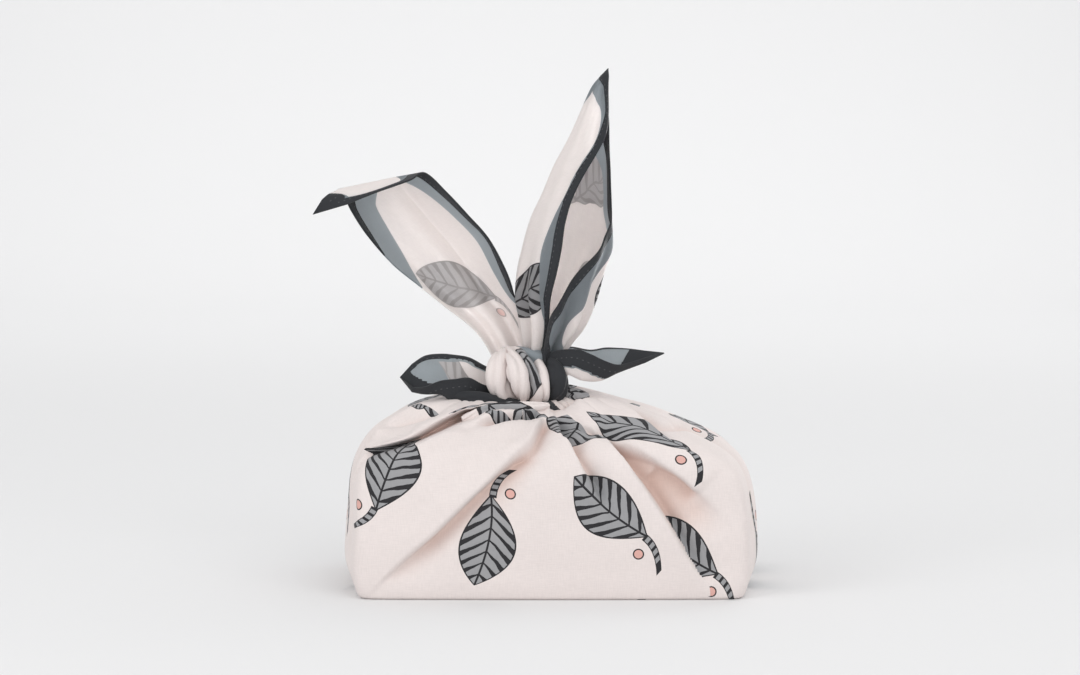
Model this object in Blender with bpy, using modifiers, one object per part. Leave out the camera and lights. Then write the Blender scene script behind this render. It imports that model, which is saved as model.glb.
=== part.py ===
"""Furoshiki wrap: one square hemmed cloth tied round box-shaped contents.

Two opposite corners of the cloth stand up through the knot as tall ears.
The other two corners are tied round them, and end as two short tails.
Metres, +Z up. The origin is the middle of the flat base.
"""
from collections import namedtuple

import bmesh
import bpy
import numpy as np

OBJECT_NAME = "furoshiki_cloth"

# ---------------------------------------------------------------- driving dimensions
CLOTH_THICKNESS = 0.002        # a hemmed edge, and the modelled sheet of ears and tails
FOLD_START_HEIGHT = 0.012      # the folds grow from nothing at the base to full at this height
FOLD_SAMPLES = 10              # points on a fold's line for each gap in its row
FOLD_FADE_IN = 0.12            # share of its length over which a fold rises at the knot
FOLD_FADE_OUT = 0.18           # and over which it sinks at its other end
FOLD_END_SHARE = 0.15          # share of its depth that a fold keeps at its ends
LAP_CROWN_SHARE = 2.4          # a lap's raised side, in widths of its hollow side
SIDE_BULGE = 0.085             # share by which a flank stands out at its middle past its corners
FACE_BULGE = 0.025             # the same for the front and the back
LAP_EDGE_WIDTH = 0.007         # over which a lap's edge drops to the cloth below it
LAP_HOLLOW = 0.45              # share of a lap's depth by which the cloth beside it dips
CROWN_RISE = 0.002             # the body's closing point above its last ring, inside the knot
LEVELS_PER_GAP = 2             # rings of faces between two rows of BODY_SECTIONS
EAR_ROWS_PER_GAP = 2
EAR_COLUMNS = 12
TAIL_COLUMNS = 8
CONE_EXTRA_COLUMNS = 4         # a rolled ear bends more than a blade, so it has more columns
STRAND_SIDES = 12
STRAND_STEPS = 2               # rings of a strand for each gap in its row
STRAND_END_SHARE = 0.6         # how far a strand's end closes, in half thicknesses
KNOT_CORE_SEGMENTS = 20
KNOT_CORE_RINGS = 12
CLOTH_COLOUR = (0.80, 0.63, 0.60, 1.0)
CLOTH_ROUGHNESS = 0.85

# The bundle's outline, level by level. Squareness is the exponent of its superellipse.
BodySection = namedtuple("BodySection", "height left right front back squareness")
BODY_SECTIONS = [
    BodySection(0.0000, -0.0840, 0.0840, -0.0550, 0.0550, 9.0),
    BodySection(0.0025, -0.0880, 0.0880, -0.0580, 0.0580, 9.0),
    BodySection(0.0140, -0.0940, 0.0940, -0.0600, 0.0600, 8.0),
    BodySection(0.0270, -0.0930, 0.0940, -0.0605, 0.0605, 8.0),
    BodySection(0.0390, -0.0920, 0.0930, -0.0600, 0.0600, 7.5),
    BodySection(0.0500, -0.0910, 0.0900, -0.0595, 0.0595, 7.0),
    BodySection(0.0590, -0.0890, 0.0850, -0.0580, 0.0580, 6.0),
    BodySection(0.0660, -0.0850, 0.0760, -0.0540, 0.0540, 5.0),
    BodySection(0.0720, -0.0800, 0.0640, -0.0460, 0.0470, 4.0),
    BodySection(0.0780, -0.0710, 0.0500, -0.0370, 0.0390, 3.2),
    BodySection(0.0830, -0.0610, 0.0340, -0.0290, 0.0310, 2.7),
    BodySection(0.0870, -0.0470, 0.0200, -0.0230, 0.0250, 2.3),
    BodySection(0.0900, -0.0300, 0.0090, -0.0180, 0.0190, 2.0),
    BodySection(0.0920, -0.0200, 0.0010, -0.0100, 0.0110, 2.0),
]

# How far apart the body's columns stand along the skin, at bearings counted from +X towards
# +Y. Each front diagonal then crosses about one column a level.
ColumnSpacing = namedtuple("ColumnSpacing", "bearing_deg spacing")
COLUMN_SPACINGS = [
    ColumnSpacing(-180, 0.0080),
    ColumnSpacing(-150, 0.0056),
    ColumnSpacing(-94, 0.0056),
    ColumnSpacing(-86, 0.0038),
    ColumnSpacing(-35, 0.0038),
    ColumnSpacing(-20, 0.0070),
    ColumnSpacing(0, 0.0080),
    ColumnSpacing(40, 0.0060),
    ColumnSpacing(140, 0.0060),
    ColumnSpacing(180, 0.0080),
]

# Folds run over the bundle from the knot outwards. Points are (x, z) on the front and the
# back, and (y, z) on the left and the right. Seen from outside, walking along the points, a
# lap's right-hand cloth lies over its left-hand cloth.
Fold = namedtuple("Fold", "name face kind depth width points")
FOLDS = [
    Fold("left_panel_top", "front", "lap", 0.0032, 0.007,
         [(-0.087, 0.061), (-0.069, 0.064), (-0.058, 0.068), (-0.043, 0.076), (-0.023, 0.084)]),
    Fold("left_shoulder", "front", "ridge", 0.0018, 0.006,
         [(-0.084, 0.066), (-0.068, 0.073), (-0.054, 0.078), (-0.038, 0.084)]),
    Fold("left_diagonal", "front", "lap", 0.0026, 0.006,
         [(-0.003, 0.081), (-0.007, 0.073), (-0.016, 0.064), (-0.039, 0.044), (-0.063, 0.021),
          (-0.084, 0.001)]),
    Fold("left_panel_dip", "front", "trough", 0.0012, 0.007,
         [(-0.016, 0.076), (-0.032, 0.061), (-0.047, 0.045)]),
    Fold("centre_crease", "front", "trough", 0.0014, 0.005,
         [(-0.001, 0.080), (0.004, 0.072), (0.010, 0.062), (0.021, 0.047), (0.025, 0.040)]),
    Fold("right_diagonal", "front", "lap", 0.0028, 0.006,
         [(0.006, 0.080), (0.022, 0.075), (0.033, 0.064), (0.044, 0.049), (0.061, 0.022),
          (0.075, 0.004)]),
    Fold("right_lobe", "front", "lap", 0.0030, 0.005,
         [(0.006, 0.084), (0.022, 0.084), (0.035, 0.079), (0.040, 0.074), (0.048, 0.061)]),
    Fold("right_panel_dip", "front", "trough", 0.0014, 0.009,
         [(0.031, 0.070), (0.048, 0.058), (0.066, 0.045), (0.079, 0.026)]),
    Fold("right_back_ridge", "front", "ridge", 0.0022, 0.006,
         [(0.010, 0.089), (0.022, 0.086), (0.040, 0.080), (0.063, 0.072)]),
    Fold("back_left_diagonal", "back", "lap", 0.0026, 0.007,
         [(-0.008, 0.084), (-0.018, 0.074), (-0.036, 0.052), (-0.058, 0.026), (-0.080, 0.002)]),
    Fold("back_right_diagonal", "back", "lap", 0.0026, 0.007,
         [(0.010, 0.083), (0.026, 0.068), (0.046, 0.046), (0.066, 0.022), (0.084, 0.002)]),
    Fold("back_middle_dip", "back", "trough", 0.0014, 0.008,
         [(0.002, 0.084), (0.000, 0.070), (-0.006, 0.056), (-0.010, 0.044)]),
    Fold("back_rim_dip", "back", "trough", 0.0014, 0.008,
         [(-0.020, 0.084), (-0.042, 0.074), (-0.066, 0.066)]),
    Fold("left_flank_front", "left", "trough", 0.0018, 0.008,
         [(-0.010, 0.080), (-0.022, 0.060), (-0.036, 0.034), (-0.050, 0.010)]),
    Fold("left_flank_back", "left", "trough", 0.0018, 0.008,
         [(0.012, 0.080), (0.024, 0.058), (0.038, 0.032), (0.050, 0.010)]),
    Fold("right_flank_front", "right", "trough", 0.0018, 0.008,
         [(-0.012, 0.076), (-0.024, 0.056), (-0.038, 0.032), (-0.050, 0.010)]),
    Fold("right_flank_back", "right", "trough", 0.0018, 0.008,
         [(0.010, 0.076), (0.022, 0.058), (0.036, 0.034), (0.050, 0.010)]),
]

# The left ear is a blade hollowed away from the front. Each row joins its outer edge to its
# hemmed edge, sags behind that chord, and carries a few soft pleats.
BladeRow = namedtuple("BladeRow", "outer_edge hem_edge sag pleat")
LEFT_EAR = [
    BladeRow((-0.019, 0.006, 0.086), (-0.006, -0.002, 0.086), 0.003, 0.0000),
    BladeRow((-0.025, 0.000, 0.100), (-0.008, 0.002, 0.104), 0.006, 0.0012),
    BladeRow((-0.034, 0.003, 0.114), (-0.013, 0.004, 0.119), 0.008, 0.0015),
    BladeRow((-0.043, 0.005, 0.126), (-0.018, 0.003, 0.130), 0.012, 0.0014),
    BladeRow((-0.054, 0.004, 0.134), (-0.021, -0.003, 0.142), 0.016, 0.0012),
    BladeRow((-0.066, 0.002, 0.145), (-0.029, -0.007, 0.157), 0.020, 0.0010),
    BladeRow((-0.076, -0.002, 0.157), (-0.038, -0.008, 0.167), 0.022, 0.0008),
    BladeRow((-0.086, -0.005, 0.169), (-0.048, -0.006, 0.177), 0.020, 0.0005),
    BladeRow((-0.093, -0.007, 0.179), (-0.061, -0.003, 0.187), 0.010, 0.0000),
    BladeRow((-0.097, -0.014, 0.176), (-0.074, -0.014, 0.181), 0.000, 0.0000),
    BladeRow((-0.102, -0.018, 0.172), (-0.090, -0.018, 0.176), 0.000, 0.0000),
]
LEFT_EAR_TIP = (-0.107, -0.022, 0.168)
PLEATS_ACROSS = 3.5            # half waves of pleating across a blade row

# The right ear is a rolled cone. Each row is an arc of an ellipse in plan, from the front hem
# round the left and the back to the side hem. Angles count from +X towards +Y.
ConeRow = namedtuple("ConeRow", "height left right front back front_hem_deg side_hem_deg")
RIGHT_EAR = [
    ConeRow(0.086, -0.010, 0.000, -0.005, 0.006, -100, -400),
    ConeRow(0.104, -0.010, 0.004, -0.010, 0.010, -96, -420),
    ConeRow(0.117, -0.0115, 0.013, -0.015, 0.014, -95, -428),
    ConeRow(0.130, -0.0145, 0.019, -0.018, 0.018, -94, -409),
    ConeRow(0.142, -0.0145, 0.023, -0.021, 0.020, -94, -382),
    ConeRow(0.153, -0.0125, 0.027, -0.022, 0.020, -98, -366),
    ConeRow(0.166, -0.009, 0.027, -0.021, 0.018, -98, -360),
    ConeRow(0.178, -0.0035, 0.027, -0.019, 0.016, -95, -358),
    ConeRow(0.190, 0.0015, 0.027, -0.016, 0.013, -78, -352),
    ConeRow(0.202, 0.008, 0.027, -0.012, 0.010, -50, -338),
    ConeRow(0.214, 0.0135, 0.027, -0.009, 0.008, -30, -325),
    ConeRow(0.225, 0.0185, 0.0265, -0.005, 0.005, -30, -320),
]
RIGHT_EAR_TIP = (0.026, 0.000, 0.234)

# A tail is a trough of cloth, open upwards: the top of its near wall, its keel, and the top
# of its far wall.
TroughRow = namedtuple("TroughRow", "near keel far")
LEFT_TAIL = [
    TroughRow((-0.020, -0.014, 0.092), (-0.020, -0.011, 0.084), (-0.020, -0.002, 0.095)),
    TroughRow((-0.030, -0.019, 0.092), (-0.030, -0.015, 0.080), (-0.030, -0.004, 0.097)),
    TroughRow((-0.038, -0.021, 0.094), (-0.038, -0.017, 0.081), (-0.038, -0.004, 0.101)),
    TroughRow((-0.046, -0.021, 0.093), (-0.046, -0.016, 0.084), (-0.046, -0.003, 0.102)),
    TroughRow((-0.055, -0.019, 0.092), (-0.055, -0.014, 0.086), (-0.055, -0.003, 0.101)),
    TroughRow((-0.062, -0.016, 0.090), (-0.062, -0.011, 0.087), (-0.062, -0.005, 0.097)),
]
LEFT_TAIL_TIP = (-0.069, -0.010, 0.091)
RIGHT_TAIL = [
    TroughRow((-0.002, -0.012, 0.094), (-0.002, -0.009, 0.090), (-0.002, 0.000, 0.103)),
    TroughRow((0.010, -0.018, 0.097), (0.010, -0.014, 0.090), (0.010, -0.001, 0.106)),
    TroughRow((0.018, -0.020, 0.097), (0.018, -0.015, 0.090), (0.018, -0.002, 0.104)),
    TroughRow((0.026, -0.019, 0.098), (0.026, -0.014, 0.093), (0.026, -0.003, 0.101)),
    TroughRow((0.034, -0.017, 0.099), (0.034, -0.012, 0.096), (0.034, -0.004, 0.100)),
    TroughRow((0.042, -0.014, 0.101), (0.042, -0.010, 0.099), (0.042, -0.006, 0.102)),
]
RIGHT_TAIL_TIP = (0.052, -0.009, 0.103)

# The middle of the knot, round which its strands lie.
KNOT_CENTRE = (-0.009, 0.000, 0.093)
KNOT_HALF_SIZES = (0.0165, 0.0175, 0.0165)

# The knot's strands: where each runs, and half its width and half its thickness there.
StrandRow = namedtuple("StrandRow", "centre half_width half_thickness")
KNOT_STRANDS = {
    "left_lobe": [
        StrandRow((-0.020, -0.004, 0.105), 0.006, 0.005),
        StrandRow((-0.020, -0.014, 0.101), 0.009, 0.007),
        StrandRow((-0.018, -0.018, 0.094), 0.010, 0.007),
        StrandRow((-0.015, -0.016, 0.087), 0.008, 0.006),
        StrandRow((-0.012, -0.009, 0.082), 0.005, 0.005),
    ],
    "middle_lobe": [
        StrandRow((-0.014, -0.006, 0.106), 0.005, 0.005),
        StrandRow((-0.009, -0.015, 0.101), 0.007, 0.006),
        StrandRow((-0.006, -0.019, 0.094), 0.008, 0.006),
        StrandRow((-0.007, -0.016, 0.086), 0.007, 0.006),
        StrandRow((-0.009, -0.009, 0.081), 0.005, 0.005),
    ],
    "right_band": [
        StrandRow((0.001, -0.004, 0.103), 0.004, 0.005),
        StrandRow((0.003, -0.012, 0.098), 0.005, 0.005),
        StrandRow((0.003, -0.015, 0.091), 0.005, 0.005),
        StrandRow((0.000, -0.012, 0.084), 0.005, 0.005),
    ],
    "back_wrap": [
        StrandRow((0.004, 0.004, 0.099), 0.006, 0.005),
        StrandRow((-0.002, 0.014, 0.097), 0.009, 0.006),
        StrandRow((-0.012, 0.017, 0.094), 0.010, 0.006),
        StrandRow((-0.022, 0.012, 0.091), 0.008, 0.006),
        StrandRow((-0.026, 0.002, 0.090), 0.006, 0.005),
    ],
}


# ---------------------------------------------------------------- curves and surfaces
def smooth_rows(rows, steps):
    """Rows of numbers read from a Catmull-Rom curve, `steps` of them for each gap."""
    rows = np.asarray(rows, float)
    before = np.vstack([2 * rows[:1] - rows[1:2], rows, 2 * rows[-1:] - rows[-2:-1]])
    out = []
    for gap in range(len(rows) - 1):
        a, b, c, d = before[gap:gap + 4]
        for step in range(steps):
            t = step / steps
            out.append(b + 0.5 * t * (c - a + t * (2 * a - 5 * b + 4 * c - d
                                                   + t * (3 * (b - c) + d - a))))
    out.append(rows[-1])
    return np.array(out)


def section_point(section, bearing):
    """Points of a body section, seen from its middle at the given bearings in radians."""
    height, left, right, front, back, squareness = section
    half = np.array([(right - left) / 2, (back - front) / 2])
    middle = np.array([(right + left) / 2, (back + front) / 2])
    ray = np.stack([np.cos(bearing), np.sin(bearing)], axis=-1)
    reach = (np.abs(ray / half) ** squareness).sum(axis=-1) ** (-1 / squareness)
    share = ray * reach[..., None] / half
    bulge = 1 - np.array([SIDE_BULGE, FACE_BULGE]) * share[..., ::-1] ** 2
    plan = middle + half * share * bulge
    return np.concatenate([plan, np.full(plan.shape[:-1] + (1,), height)], axis=-1)


def section_at(height):
    """The body section at a height, read from the table."""
    table = np.array(BODY_SECTIONS)
    return [np.interp(height, table[:, 0], table[:, column]) for column in range(table.shape[1])]


def on_skin(face, across, height):
    """The point of the bundle's skin at a place across one of its four faces."""
    _, left, right, front, back, squareness = section_at(height)
    along_x = face in ("front", "back")
    low, high = (left, right) if along_x else (front, back)
    near, far = (front, back) if along_x else (left, right)
    share = min(abs(across - (low + high) / 2) / ((high - low) / 2), 0.999)
    reach = (far - near) / 2 * (1 - share ** squareness) ** (1 / squareness)
    side = -1 if face in ("front", "left") else 1
    out = (near + far) / 2 + side * reach
    return (across, out, height) if along_x else (out, across, height)


def column_bearings():
    """Bearings of the body's columns, spaced along the skin as the table says."""
    fine = np.linspace(-np.pi, np.pi, 4001)
    ring = section_point(section_at(0.040), fine)
    step = np.linalg.norm(np.diff(ring, axis=0), axis=1)
    table = np.array(COLUMN_SPACINGS)
    spacing = np.interp((fine[1:] + fine[:-1]) / 2, np.radians(table[:, 0]), table[:, 1])
    walked = np.concatenate([[0], np.cumsum(step / spacing)])
    columns = int(walked[-1])
    return np.interp(np.arange(columns) / columns * walked[-1], walked, fine)


def ring_normals(grid):
    """Outward normals of a grid of points [level, column, xyz] that closes round its columns."""
    around = np.roll(grid, -1, axis=1) - np.roll(grid, 1, axis=1)
    up = np.gradient(grid, axis=0)
    normal = np.cross(around, up)
    return normal / np.maximum(np.linalg.norm(normal, axis=-1, keepdims=True), 1e-12)


# ---------------------------------------------------------------- folds on the bundle
def fold_profile(kind, depth, width, distance):
    """How far the skin stands out at a signed distance from a fold; left of it is positive."""
    bell = np.exp(-(distance / width) ** 2)
    if kind == "ridge":
        return depth * bell
    if kind == "trough":
        return -depth * bell
    over = np.exp(-(distance / (LAP_CROWN_SHARE * width)) ** 2)
    under = -LAP_HOLLOW * bell
    step = (distance / LAP_EDGE_WIDTH + 0.5).clip(0, 1)
    step = step * step * (3 - 2 * step)
    return depth * (over * (1 - step) + under * step)


def fold_height(points, normals, fold):
    """The height that one fold adds at each point of the skin."""
    line = np.array([on_skin(fold.face, across, height) for across, height in fold.points])
    line = smooth_rows(line, FOLD_SAMPLES)
    share = np.linspace(0, 1, len(line))
    fade = np.minimum(share / FOLD_FADE_IN, (1 - share) / FOLD_FADE_OUT).clip(FOLD_END_SHARE, 1)
    tangent = np.gradient(line, axis=0)
    gap = points[:, None, :] - line[None, :, :]
    nearest = np.argmin((gap ** 2).sum(axis=-1), axis=1)
    offset = gap[np.arange(len(points)), nearest]
    offset = offset - (offset * normals).sum(axis=1, keepdims=True) * normals
    along = tangent[nearest] / np.linalg.norm(tangent[nearest], axis=1, keepdims=True)
    leftward = (offset * np.cross(normals, along)).sum(axis=1)
    distance = np.where(leftward < 0, -1, 1) * np.linalg.norm(offset, axis=1)
    return fold_profile(fold.kind, fold.depth, fold.width, distance) * fade[nearest]


def body_grid():
    """The bundle's skin with its folds, as points [level, column, xyz] from foot to crown."""
    sections = smooth_rows(BODY_SECTIONS, LEVELS_PER_GAP)
    bearings = column_bearings()
    grid = np.array([section_point(section, bearings) for section in sections])
    normals = ring_normals(grid)
    points = grid.reshape(-1, 3)
    flat_normals = normals.reshape(-1, 3)
    lift = sum(fold_height(points, flat_normals, fold) for fold in FOLDS)
    above_base = (points[:, 2] / FOLD_START_HEIGHT).clip(0, 1)
    moved = points + flat_normals * (lift * above_base)[:, None]
    moved = moved.reshape(grid.shape)
    moved[0] = grid[0]
    return moved


# ---------------------------------------------------------------- meshes
def new_object(name, mesh_builder, collection):
    """An object whose mesh is what `mesh_builder` leaves in a fresh bmesh."""
    mesh = bpy.data.meshes.new(name)
    bm = bmesh.new()
    mesh_builder(bm)
    bmesh.ops.recalc_face_normals(bm, faces=bm.faces)
    bm.to_mesh(mesh)
    bm.free()
    mesh.shade_smooth()
    obj = bpy.data.objects.new(name, mesh)
    collection.objects.link(obj)
    return obj


def loft(bm, grid, closed_ring):
    """Quads between neighbouring rows of points; returns the rows of vertices."""
    rows = [[bm.verts.new(point) for point in row] for row in grid]
    columns = len(rows[0])
    for lower, upper in zip(rows[:-1], rows[1:]):
        for column in range(columns if closed_ring else columns - 1):
            after = (column + 1) % columns
            bm.faces.new((lower[column], lower[after], upper[after], upper[column]))
    return rows


def split_towards_knot(bm):
    """Splits the side faces along the diagonal that leans towards the knot, as the folds do."""
    for face in [face for face in bm.faces if len(face.verts) == 4]:
        below_left, below_right, above_right, above_left = face.verts
        leans_right = face.calc_center_median().x * (below_right.co.x - below_left.co.x) < 0
        ends = (below_left, above_right) if leans_right else (below_right, above_left)
        bmesh.utils.face_split(face, *ends)


def close_to_point(bm, ring, point, closed_ring):
    """Triangles from a row of vertices to one tip."""
    tip = bm.verts.new(point)
    columns = len(ring)
    for column in range(columns if closed_ring else columns - 1):
        bm.faces.new((ring[column], ring[(column + 1) % columns], tip))


def build_body(collection):
    """The wrapped bundle, from its flat base to the crown inside the knot."""
    grid = body_grid()
    crown = grid[-1].mean(axis=0) + np.array([0, 0, CROWN_RISE])

    def fill(bm):
        rows = loft(bm, grid, closed_ring=True)
        split_towards_knot(bm)
        bm.faces.new(list(reversed(rows[0])))
        close_to_point(bm, rows[-1], crown, closed_ring=True)

    return new_object(OBJECT_NAME, fill, collection)


def build_sheet(name, grid, tip, collection):
    """A sheet of cloth through a grid of points, ending in a tip."""
    def fill(bm):
        rows = loft(bm, grid, closed_ring=False)
        close_to_point(bm, rows[-1], tip, closed_ring=False)

    sheet = new_object(name, fill, collection)
    shell = sheet.modifiers.new("cloth_thickness", "SOLIDIFY")
    shell.thickness = CLOTH_THICKNESS
    shell.offset = 0.0
    return sheet


def blade_points(rows):
    """Grid of a hollowed blade: a chord with its sag and its pleats, for each row."""
    table = [list(row.outer_edge) + list(row.hem_edge) + [row.sag, row.pleat] for row in rows]
    across = np.linspace(0, 1, EAR_COLUMNS + 1)[:, None]
    grid = []
    for row in smooth_rows(table, EAR_ROWS_PER_GAP):
        outer, hem, sag, pleat = row[:3], row[3:6], row[6], row[7]
        behind = sag * 4 * across * (1 - across)
        behind = behind + pleat * np.sin(across * np.pi * PLEATS_ACROSS)
        grid.append(outer + (hem - outer) * across + behind * np.array([0, 1, 0]))
    return np.array(grid)


def cone_points(rows):
    """Grid of a rolled cone: an arc of an ellipse in plan for each row."""
    share = np.linspace(0, 1, EAR_COLUMNS + CONE_EXTRA_COLUMNS + 1)
    grid = []
    for height, left, right, front, back, start, end in smooth_rows(rows, EAR_ROWS_PER_GAP):
        angle = np.radians(start + (end - start) * share)
        x = (left + right) / 2 + (right - left) / 2 * np.cos(angle)
        y = (front + back) / 2 + (back - front) / 2 * np.sin(angle)
        grid.append(np.stack([x, y, np.full_like(x, height)], axis=-1))
    return np.array(grid)


def trough_points(rows):
    """Grid of a trough-shaped tail: a smooth curve over near top, keel and far top."""
    table = np.array([row.near + row.keel + row.far for row in rows])
    grid = []
    for row in smooth_rows(table, EAR_ROWS_PER_GAP):
        grid.append(smooth_rows(row.reshape(3, 3), TAIL_COLUMNS // 2))
    return np.array(grid)


def build_knot_core(collection):
    """The gathered cloth in the middle of the knot."""
    def fill(bm):
        bmesh.ops.create_uvsphere(bm, u_segments=KNOT_CORE_SEGMENTS, v_segments=KNOT_CORE_RINGS,
                                  radius=1.0)
        bmesh.ops.scale(bm, verts=bm.verts, vec=KNOT_HALF_SIZES)
        bmesh.ops.translate(bm, verts=bm.verts, vec=KNOT_CENTRE)

    return new_object("knot_core", fill, collection)


def build_strand(name, rows, collection):
    """One strand of the knot: a soft flattened tube along its row of centres."""
    table = [list(row.centre) + [row.half_width, row.half_thickness] for row in rows]
    table = smooth_rows(table, STRAND_STEPS)
    centres = table[:, :3]
    tangents = np.gradient(centres, axis=0)
    tangents = tangents / np.linalg.norm(tangents, axis=1, keepdims=True)
    outward = centres - np.array(KNOT_CENTRE)
    sideways = np.cross(tangents, outward)
    sideways = sideways / np.linalg.norm(sideways, axis=1, keepdims=True)
    normal = np.cross(sideways, tangents)
    angle = np.arange(STRAND_SIDES) / STRAND_SIDES * 2 * np.pi
    grid = (centres[:, None, :]
            + sideways[:, None, :] * (table[:, 3:4] * np.cos(angle))[..., None]
            + normal[:, None, :] * (table[:, 4:5] * np.sin(angle))[..., None])

    def fill(bm):
        rings = loft(bm, grid, closed_ring=True)
        reach = table[:, 4:5] * STRAND_END_SHARE * tangents
        close_to_point(bm, rings[-1], centres[-1] + reach[-1], closed_ring=True)
        close_to_point(bm, rings[0], centres[0] - reach[0], closed_ring=True)

    return new_object(name, fill, collection)


# ---------------------------------------------------------------- the whole cloth
def cloth_material():
    """Fine cotton, blush pink."""
    material = bpy.data.materials.new("blush_cotton")
    material.use_nodes = True
    surface = material.node_tree.nodes["Principled BSDF"]
    surface.inputs["Base Color"].default_value = CLOTH_COLOUR
    surface.inputs["Roughness"].default_value = CLOTH_ROUGHNESS
    surface.inputs["Metallic"].default_value = 0.0
    material.diffuse_color = CLOTH_COLOUR
    return material


def fuse(whole, piece):
    """Joins one piece of the cloth to the whole."""
    union = whole.modifiers.new("join_" + piece.name, "BOOLEAN")
    union.operation = "UNION"
    union.solver = "EXACT"
    union.object = piece
    piece.hide_render = True
    piece.display_type = "WIRE"


def main():
    for old in list(bpy.data.objects):
        bpy.data.objects.remove(old, do_unlink=True)
    parts = bpy.data.collections.new("furoshiki_wrap")
    joined = bpy.data.collections.new("joined_pieces")
    bpy.context.scene.collection.children.link(parts)
    bpy.context.scene.collection.children.link(joined)

    cloth = build_body(parts)
    cloth.data.materials.append(cloth_material())
    pieces = [build_knot_core(joined)]
    pieces += [build_strand(name, rows, joined) for name, rows in KNOT_STRANDS.items()]
    pieces.append(build_sheet("left_ear", blade_points(LEFT_EAR), LEFT_EAR_TIP, joined))
    pieces.append(build_sheet("right_ear", cone_points(RIGHT_EAR), RIGHT_EAR_TIP, joined))
    pieces.append(build_sheet("left_tail", trough_points(LEFT_TAIL), LEFT_TAIL_TIP, joined))
    pieces.append(build_sheet("right_tail", trough_points(RIGHT_TAIL), RIGHT_TAIL_TIP, joined))
    for piece in pieces:
        fuse(cloth, piece)


main()
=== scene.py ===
# %% [markdown]
# # A furoshiki wrap with two standing ears
# A furoshiki is one square of hemmed cotton, here 50 cm a side. It is folded round a box, two
# opposite corners stand up as ears, and the other two are tied round them in a knot.
# The solid model gives the frame. This script dresses it with thin cloth, one patch at a time:
# the bundle, the knot's strands, two ears and two tails. First the frame is loaded.

# %% Load the frame
import math
from collections import namedtuple

import bpy
import numpy as np
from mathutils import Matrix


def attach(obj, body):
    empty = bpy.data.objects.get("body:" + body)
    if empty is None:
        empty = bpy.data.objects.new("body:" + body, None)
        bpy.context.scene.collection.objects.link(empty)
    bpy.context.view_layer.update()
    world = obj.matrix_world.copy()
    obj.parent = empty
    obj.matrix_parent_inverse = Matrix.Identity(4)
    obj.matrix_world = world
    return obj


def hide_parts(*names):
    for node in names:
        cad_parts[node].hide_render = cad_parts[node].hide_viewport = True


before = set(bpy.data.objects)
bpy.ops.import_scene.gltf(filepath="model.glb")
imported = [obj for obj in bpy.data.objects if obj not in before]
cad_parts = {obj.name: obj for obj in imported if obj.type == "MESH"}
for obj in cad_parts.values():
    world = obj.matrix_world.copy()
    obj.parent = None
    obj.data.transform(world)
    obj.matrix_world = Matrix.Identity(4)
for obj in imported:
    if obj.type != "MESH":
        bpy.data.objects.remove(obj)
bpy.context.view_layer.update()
CLOTH_NODE = "furoshiki_cloth"

# %% [markdown]
# ## Camera and floor
# The bundle is seen from a little above, from far enough away that its sides look nearly
# parallel. A long lens does that. A flat floor and a flat wall would meet in a line. One sheet
# that rises into a wall in a quarter circle, like a roll of paper hung from the wall, has no
# horizon.

# %% Camera
AIM = (-0.005, 0.0, 0.1117)
CAMERA_DISTANCE = 1.70
CAMERA_TILT_DEG = 5.0
LENS_MM = 124.3


def add_camera():
    tilt = math.radians(CAMERA_TILT_DEG)
    camera = bpy.data.objects.new("camera", bpy.data.cameras.new("camera"))
    camera.data.lens = LENS_MM
    camera.location = (AIM[0], AIM[1] - CAMERA_DISTANCE * math.cos(tilt),
                       AIM[2] + CAMERA_DISTANCE * math.sin(tilt))
    camera.rotation_euler = (math.radians(90) - tilt, 0, 0)
    bpy.context.scene.collection.objects.link(camera)
    bpy.context.scene.camera = camera


add_camera()
print("camera", bpy.context.scene.camera.location)

# %% Paper floor and wall
SWEEP_HALF_WIDTH = 3.0
SWEEP_FRONT = -3.0
SWEEP_BACK = 1.6
SWEEP_RADIUS = 0.9
SWEEP_TOP = 3.2
SWEEP_STEPS = 24
PAPER_WHITE = (0.795, 0.795, 0.80)
PAPER_ROUGHNESS = 0.9


def plain_material(name, colour, roughness):
    material = bpy.data.materials.new(name)
    material.use_nodes = True
    surface = material.node_tree.nodes["Principled BSDF"]
    surface.inputs["Base Color"].default_value = (*colour, 1)
    surface.inputs["Roughness"].default_value = roughness
    return material


def add_sweep():
    turn = np.linspace(0, math.pi / 2, SWEEP_STEPS)
    bend = [(SWEEP_BACK + SWEEP_RADIUS * math.sin(a), SWEEP_RADIUS * (1 - math.cos(a)))
            for a in turn]
    profile = [(SWEEP_FRONT, 0)] + bend + [(SWEEP_BACK + SWEEP_RADIUS, SWEEP_TOP)]
    points = [(x, y, z) for y, z in profile for x in (-SWEEP_HALF_WIDTH, SWEEP_HALF_WIDTH)]
    faces = [(2 * i, 2 * i + 1, 2 * i + 3, 2 * i + 2) for i in range(len(profile) - 1)]
    mesh = bpy.data.meshes.new("paper_sweep")
    mesh.from_pydata(points, [], faces)
    mesh.shade_smooth()
    mesh.materials.append(plain_material("white_paper", PAPER_WHITE, PAPER_ROUGHNESS))
    sweep = bpy.data.objects.new("paper_sweep", mesh)
    bpy.context.scene.collection.objects.link(sweep)


add_sweep()

# %% [markdown]
# ## Lights
# Cotton is matt, so its folds are read from soft shade and not from highlights. One small lamp
# would draw hard shadows, and an even white sky alone would flatten the folds. Big square lights
# from the right, the left and above, in a white room that is a little brighter on the right,
# leave faint shadows. A small light low behind shines up through the thin ears, and another
# evens out the wall.

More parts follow.
